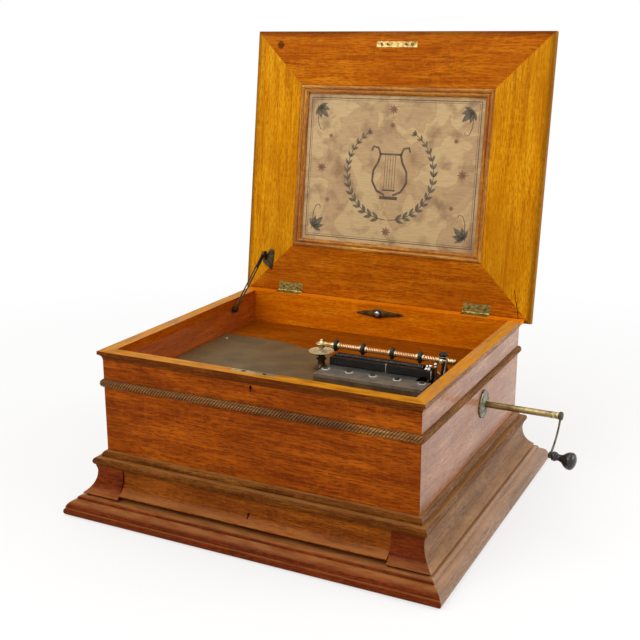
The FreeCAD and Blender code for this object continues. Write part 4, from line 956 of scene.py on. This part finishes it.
# Bracket of the lid stay: a flat heart-shaped plate with an eye, an ear and the rivet of the arm
stay = dict(face=273.35, plate=((-240.4, 171.0), (-238.6, 167.2), (-234.5, 165.6), (-230.4, 167.2),
                                (-228.8, 171.6), (-229.6, 178.0), (-229.9, 190.0), (-231.6, 202.0),
                                (-233.7, 207.4), (-237.4, 203.6), (-251.6, 195.4), (-252.8, 191.0),
                                (-252.6, 181.0), (-250.6, 177.6), (-243.0, 176.0)),
            pivot=(177.5, 265.4), ear=(-247.7, -245.7), rivet=(-251.8, -245.4))


def makeStayBracket():
    place = openLid @ at(0, 0, stay["face"]) @ Matrix.Rotation(math.pi, 4, "X")
    plate = plateFrom("stayPlate", [(x, -y) for x, y in stay["plate"]], 1.5, place, 0.3)
    eye = turned("stayEye", [(0, 1.2), (5.2, 1.2), (5.6, 2.0), (4.6, 2.6), (2.6, 2.4), (0, 2.2)],
                 steps=24, place=place @ at(-234.5, -171.9, 0))
    py, pz = stay["pivot"]
    ear = [(py - 6, 272.6), (py - 6, pz), (py - 4.2, pz - 4.2), (py, pz - 6), (py + 4.2, pz - 4.2),
           (py + 6, pz), (py + 13, 272.6)]
    x0, x1 = stay["ear"]
    cheek = plateFrom("stayEar", ear, x1 - x0, openLid @ at(x0, 0, 0)
                      @ acrossX, 0.3)
    r0, r1 = stay["rivet"]
    rivet = turned("stayRivet", [(0, r0), (2.6, r0), (3.5, r0 + 0.6), (3.5, r0 + 1.5), (2.0, r0 + 1.5),
                                 (2.0, r1), (0, r1)], steps=24,
                   place=openLid @ at(0, py, pz) @ alongX)
    dress(joined([plate, eye, cheek, rivet], "stayBracketBrown"), "stayBrown", "lid", "dark_steel",
          "stay_bracket")


makeStayBracket()
print("stay bracket made")


# Print: a laurel wreath round a lyre, sprays in the corners and a thin border
sheet = dict(middle=2.35, face=279.82, ink=0.12, halfX=174.0, halfY=136.85, wreath=86.0,
             leaves=15, leaf=((0, 0), (3, 2.0), (7, 3.0), (11, 2.1), (15.5, 0), (11, -2.1), (7, -3.0),
                              (3, -2.0)))


def onSheet(x, v, turn=0.0, scale=1.0):
    return (openLid @ at(0, sheet["middle"], sheet["face"])
            @ Matrix.Rotation(math.pi, 4, "X") @ at(x, v, 0)
            @ turnBy(turn, "Z") @ Matrix.Diagonal((scale, scale, 1, 1)))


def drawn(name, points, width):
    return plateFrom(name, strip(points, width), sheet["ink"], onSheet(0, 0))


def makePrint():
    ink = sheet["ink"]
    radius = sheet["wreath"]
    places, stems = [], []
    for side in (-1, 1):
        arc = []
        for n in range(sheet["leaves"] + 1):
            around = -88 + n * 9.6
            x = side * radius * math.cos(math.radians(around))
            v = radius * math.sin(math.radians(around)) - 4
            arc.append((x, v))
            along = around + 90 if side > 0 else 90 - around
            if n:
                for lean in (-32, 32):
                    places.append(onSheet(x, v, along + lean, 1.15 - 0.03 * n))
        stems.append(drawn(f"stem{side}", arc, 1.5))
        places.append(onSheet(*arc[-1], (-88 + sheet["leaves"] * 9.6 + 90) if side > 0
                              else 90 + 88 - sheet["leaves"] * 9.6, 0.7))
    for sx in (-1, 1):
        for sv in (-1, 1):
            corner = (sx * 152, sv * 114)
            facing = math.degrees(math.atan2(-sv, -sx))
            for lean, size in ((-64, 1.2), (-32, 1.5), (0, 1.9), (32, 1.5), (64, 1.2)):
                places.append(onSheet(*corner, facing + lean, size))
            stems.append(drawn(f"curl{sx}{sv}", [
                (corner[0] + sx * 2, corner[1] + sv * 2), (corner[0], corner[1] - sv * 30),
                (corner[0] - sx * 5, corner[1] - sv * 42), (corner[0] - sx * 12, corner[1] - sv * 44),
                (corner[0] - sx * 14, corner[1] - sv * 38)], 1.3))
    leaf = plateFrom("leaf", sheet["leaf"], ink)
    dress(copiedTo(leaf, "printLeaves", places), "oliveInk", "lid", "print_paper")
    petals = []
    for x, v, size in ((0, 112, 0.62), (0, -112, 0.62), (-140, 0, 0.62), (140, 0, 0.62), (0, 84, 0.42),
                       (-124, 60, 0.34), (124, 60, 0.34), (-124, -60, 0.34), (124, -60, 0.34)):
        petals += [onSheet(x, v, turn, size) for turn in range(0, 360, 45)]
    petal = plateFrom("petal", sheet["leaf"], ink)
    dress(copiedTo(petal, "printRosettes", petals), "redInk", "lid", "print_paper")
    for sx in (-1, 1):
        stems.append(drawn(f"lyreArm{sx}", [
            (sx * 8, -44), (sx * 24, -37), (sx * 34, -20), (sx * 33, 0), (sx * 24, 16), (sx * 20, 30),
            (sx * 25, 42), (sx * 35, 44), (sx * 38, 36)], 4.2))
    for n in range(-2, 3):
        stems.append(drawn(f"lyreString{n}", [(n * 5.0, -34), (n * 5.0, 30)], 0.8))
    stems += [drawn("lyreBar", [(-23, 31), (23, 31)], 3.4), drawn("lyreFoot", [(-18, -49), (18, -49)], 6.0),
              drawn("lyreTail", [(-13, -35), (13, -35)], 3.0)]
    for n, (inset, width) in enumerate(((7, 1.4), (10.5, 0.6))):
        hx, hv = sheet["halfX"] - inset, sheet["halfY"] - inset
        corners = [(-hx, -hv), (hx, -hv), (hx, hv), (-hx, hv), (-hx, -hv)]
        stems += [drawn(f"border{n}{m}", pair, width) for m, pair in enumerate(zip(corners, corners[1:]))]
    dress(joined(stems, "printLines"), "brownInk", "lid", "print_paper")


makePrint()
print("print made")


# Crank: a bowed arm, a leaning pin and a turned black knob
crank = dict(y=41.0, z=181.0, shaftEnd=394.0, throw=70.3, angle=-140.2, lean=8.2)
crankTurn = math.radians(crank["angle"])
knobY = crank["y"] + crank["throw"] * math.cos(crankTurn)
knobZ = crank["z"] + crank["throw"] * math.sin(crankTurn)


def makeCrank():
    end = crank["shaftEnd"]
    atShaft = at(0, crank["y"], crank["z"])
    atKnob = at(0, knobY, knobZ)
    foot = Vector(((end + 2.9) * mm, knobY * mm, knobZ * mm))
    leaning = (Matrix.Translation(foot)
               @ Matrix.Rotation(math.radians(crank["lean"]), 4,
                                 Vector((0, -math.sin(crankTurn), math.cos(crankTurn))))
               @ Matrix.Translation(-foot))
    collar = turned("shaftCollar", [(5.2, end - 12), (5.7, end - 11.4), (5.7, end - 7), (5.2, end - 6.4),
                                    (5.2, end - 4), (5.6, end - 3.4), (5.6, end - 1), (5.2, end - 0.4)],
                    steps=32, place=atShaft @ alongX)
    dress(collar, "paleBrass", "crank", "brass")
    boss = turned("crankBoss", [(0, end - 0.1), (5.6, end - 0.1), (6.8, end + 1), (6.8, end + 4.6),
                                (5.8, end + 5.9), (2.6, end + 6), (2.4, end + 5.4), (0, end + 5.4)],
                  steps=28, place=atShaft @ alongX)
    bush = turned("crankFoot", [(0, end), (4.2, end), (5.2, end + 0.8), (5.2, end + 4.2), (4.4, end + 6),
                                (2.5, end + 6), (2.5, end + 33.5), (0, end + 34)],
                  steps=24, place=leaning @ atKnob @ alongX)
    arm = addPiece("crankArm", "primitive_cube_add", size=1)
    arm.data.transform(Matrix.Diagonal((2.6 * mm, crank["throw"] * mm, 5.4 * mm, 1)))
    arm.data.transform(at(0, crank["throw"] / 2, 0))
    editing(arm)
    bpy.ops.mesh.select_all(action="SELECT")
    bpy.ops.mesh.subdivide(number_cuts=7)
    bpy.ops.object.mode_set(mode="OBJECT")
    for vertex in arm.data.vertices:
        along = vertex.co.y / (crank["throw"] * mm)
        vertex.co.z *= 0.62 + 0.75 * (2 * along - 1) ** 4
        vertex.co.x += 1.6 * mm * math.sin(math.pi * along)
    useModifier(arm, "BEVEL", width=0.5 * mm, segments=2)
    settle(arm, at((end + 2.9), crank["y"], crank["z"])
           @ Matrix.Rotation(crankTurn, 4, "X"), 50)
    dress(joined([boss, bush, arm], "crankArmForged"), "oiledSteel", "crank", "dark_steel", "crank_arm")
    knob = turned("crankKnob", [
        (2.6, 0), (6.8, 0), (7.2, 0.5), (7.4, 5.2), (6.1, 6.8), (5.2, 9), (5.0, 10.8), (5.4, 12.5),
        (6.4, 15.6), (8.9, 18.5), (10.9, 20.6), (12.4, 23), (13.4, 26), (13.7, 29), (13.2, 31.4),
        (11.9, 33.3), (9.2, 35), (6, 36.2), (3, 36.7), (0, 36.8)],
        steps=40, place=leaning @ atKnob @ alongX @ at(0, 0, (end + 6.3)), smooth=60)
    dress(knob, "ebonised", "crank_knob", "black_wood", "crank_knob")
    wallX = case["halfX"]
    plate = turned("crankPlate", [
        (5.6, wallX + 0.02), (22.4, wallX + 0.02), (23.2, wallX + 0.8), (23.0, wallX + 2.4),
        (21.6, wallX + 3.2), (20.0, wallX + 2.6), (17.6, wallX + 2.4), (14.0, wallX + 3.0),
        (11.0, wallX + 4.6), (9.0, wallX + 5.9), (5.6, wallX + 5.9), (5.6, wallX + 0.02)], steps=48,
        place=atShaft @ alongX)
    dress(plate, "plateSteel", "case", "dark_steel", "crank_escutcheon")


makeCrank()
print("crank made")
bpy.context.view_layer.update()
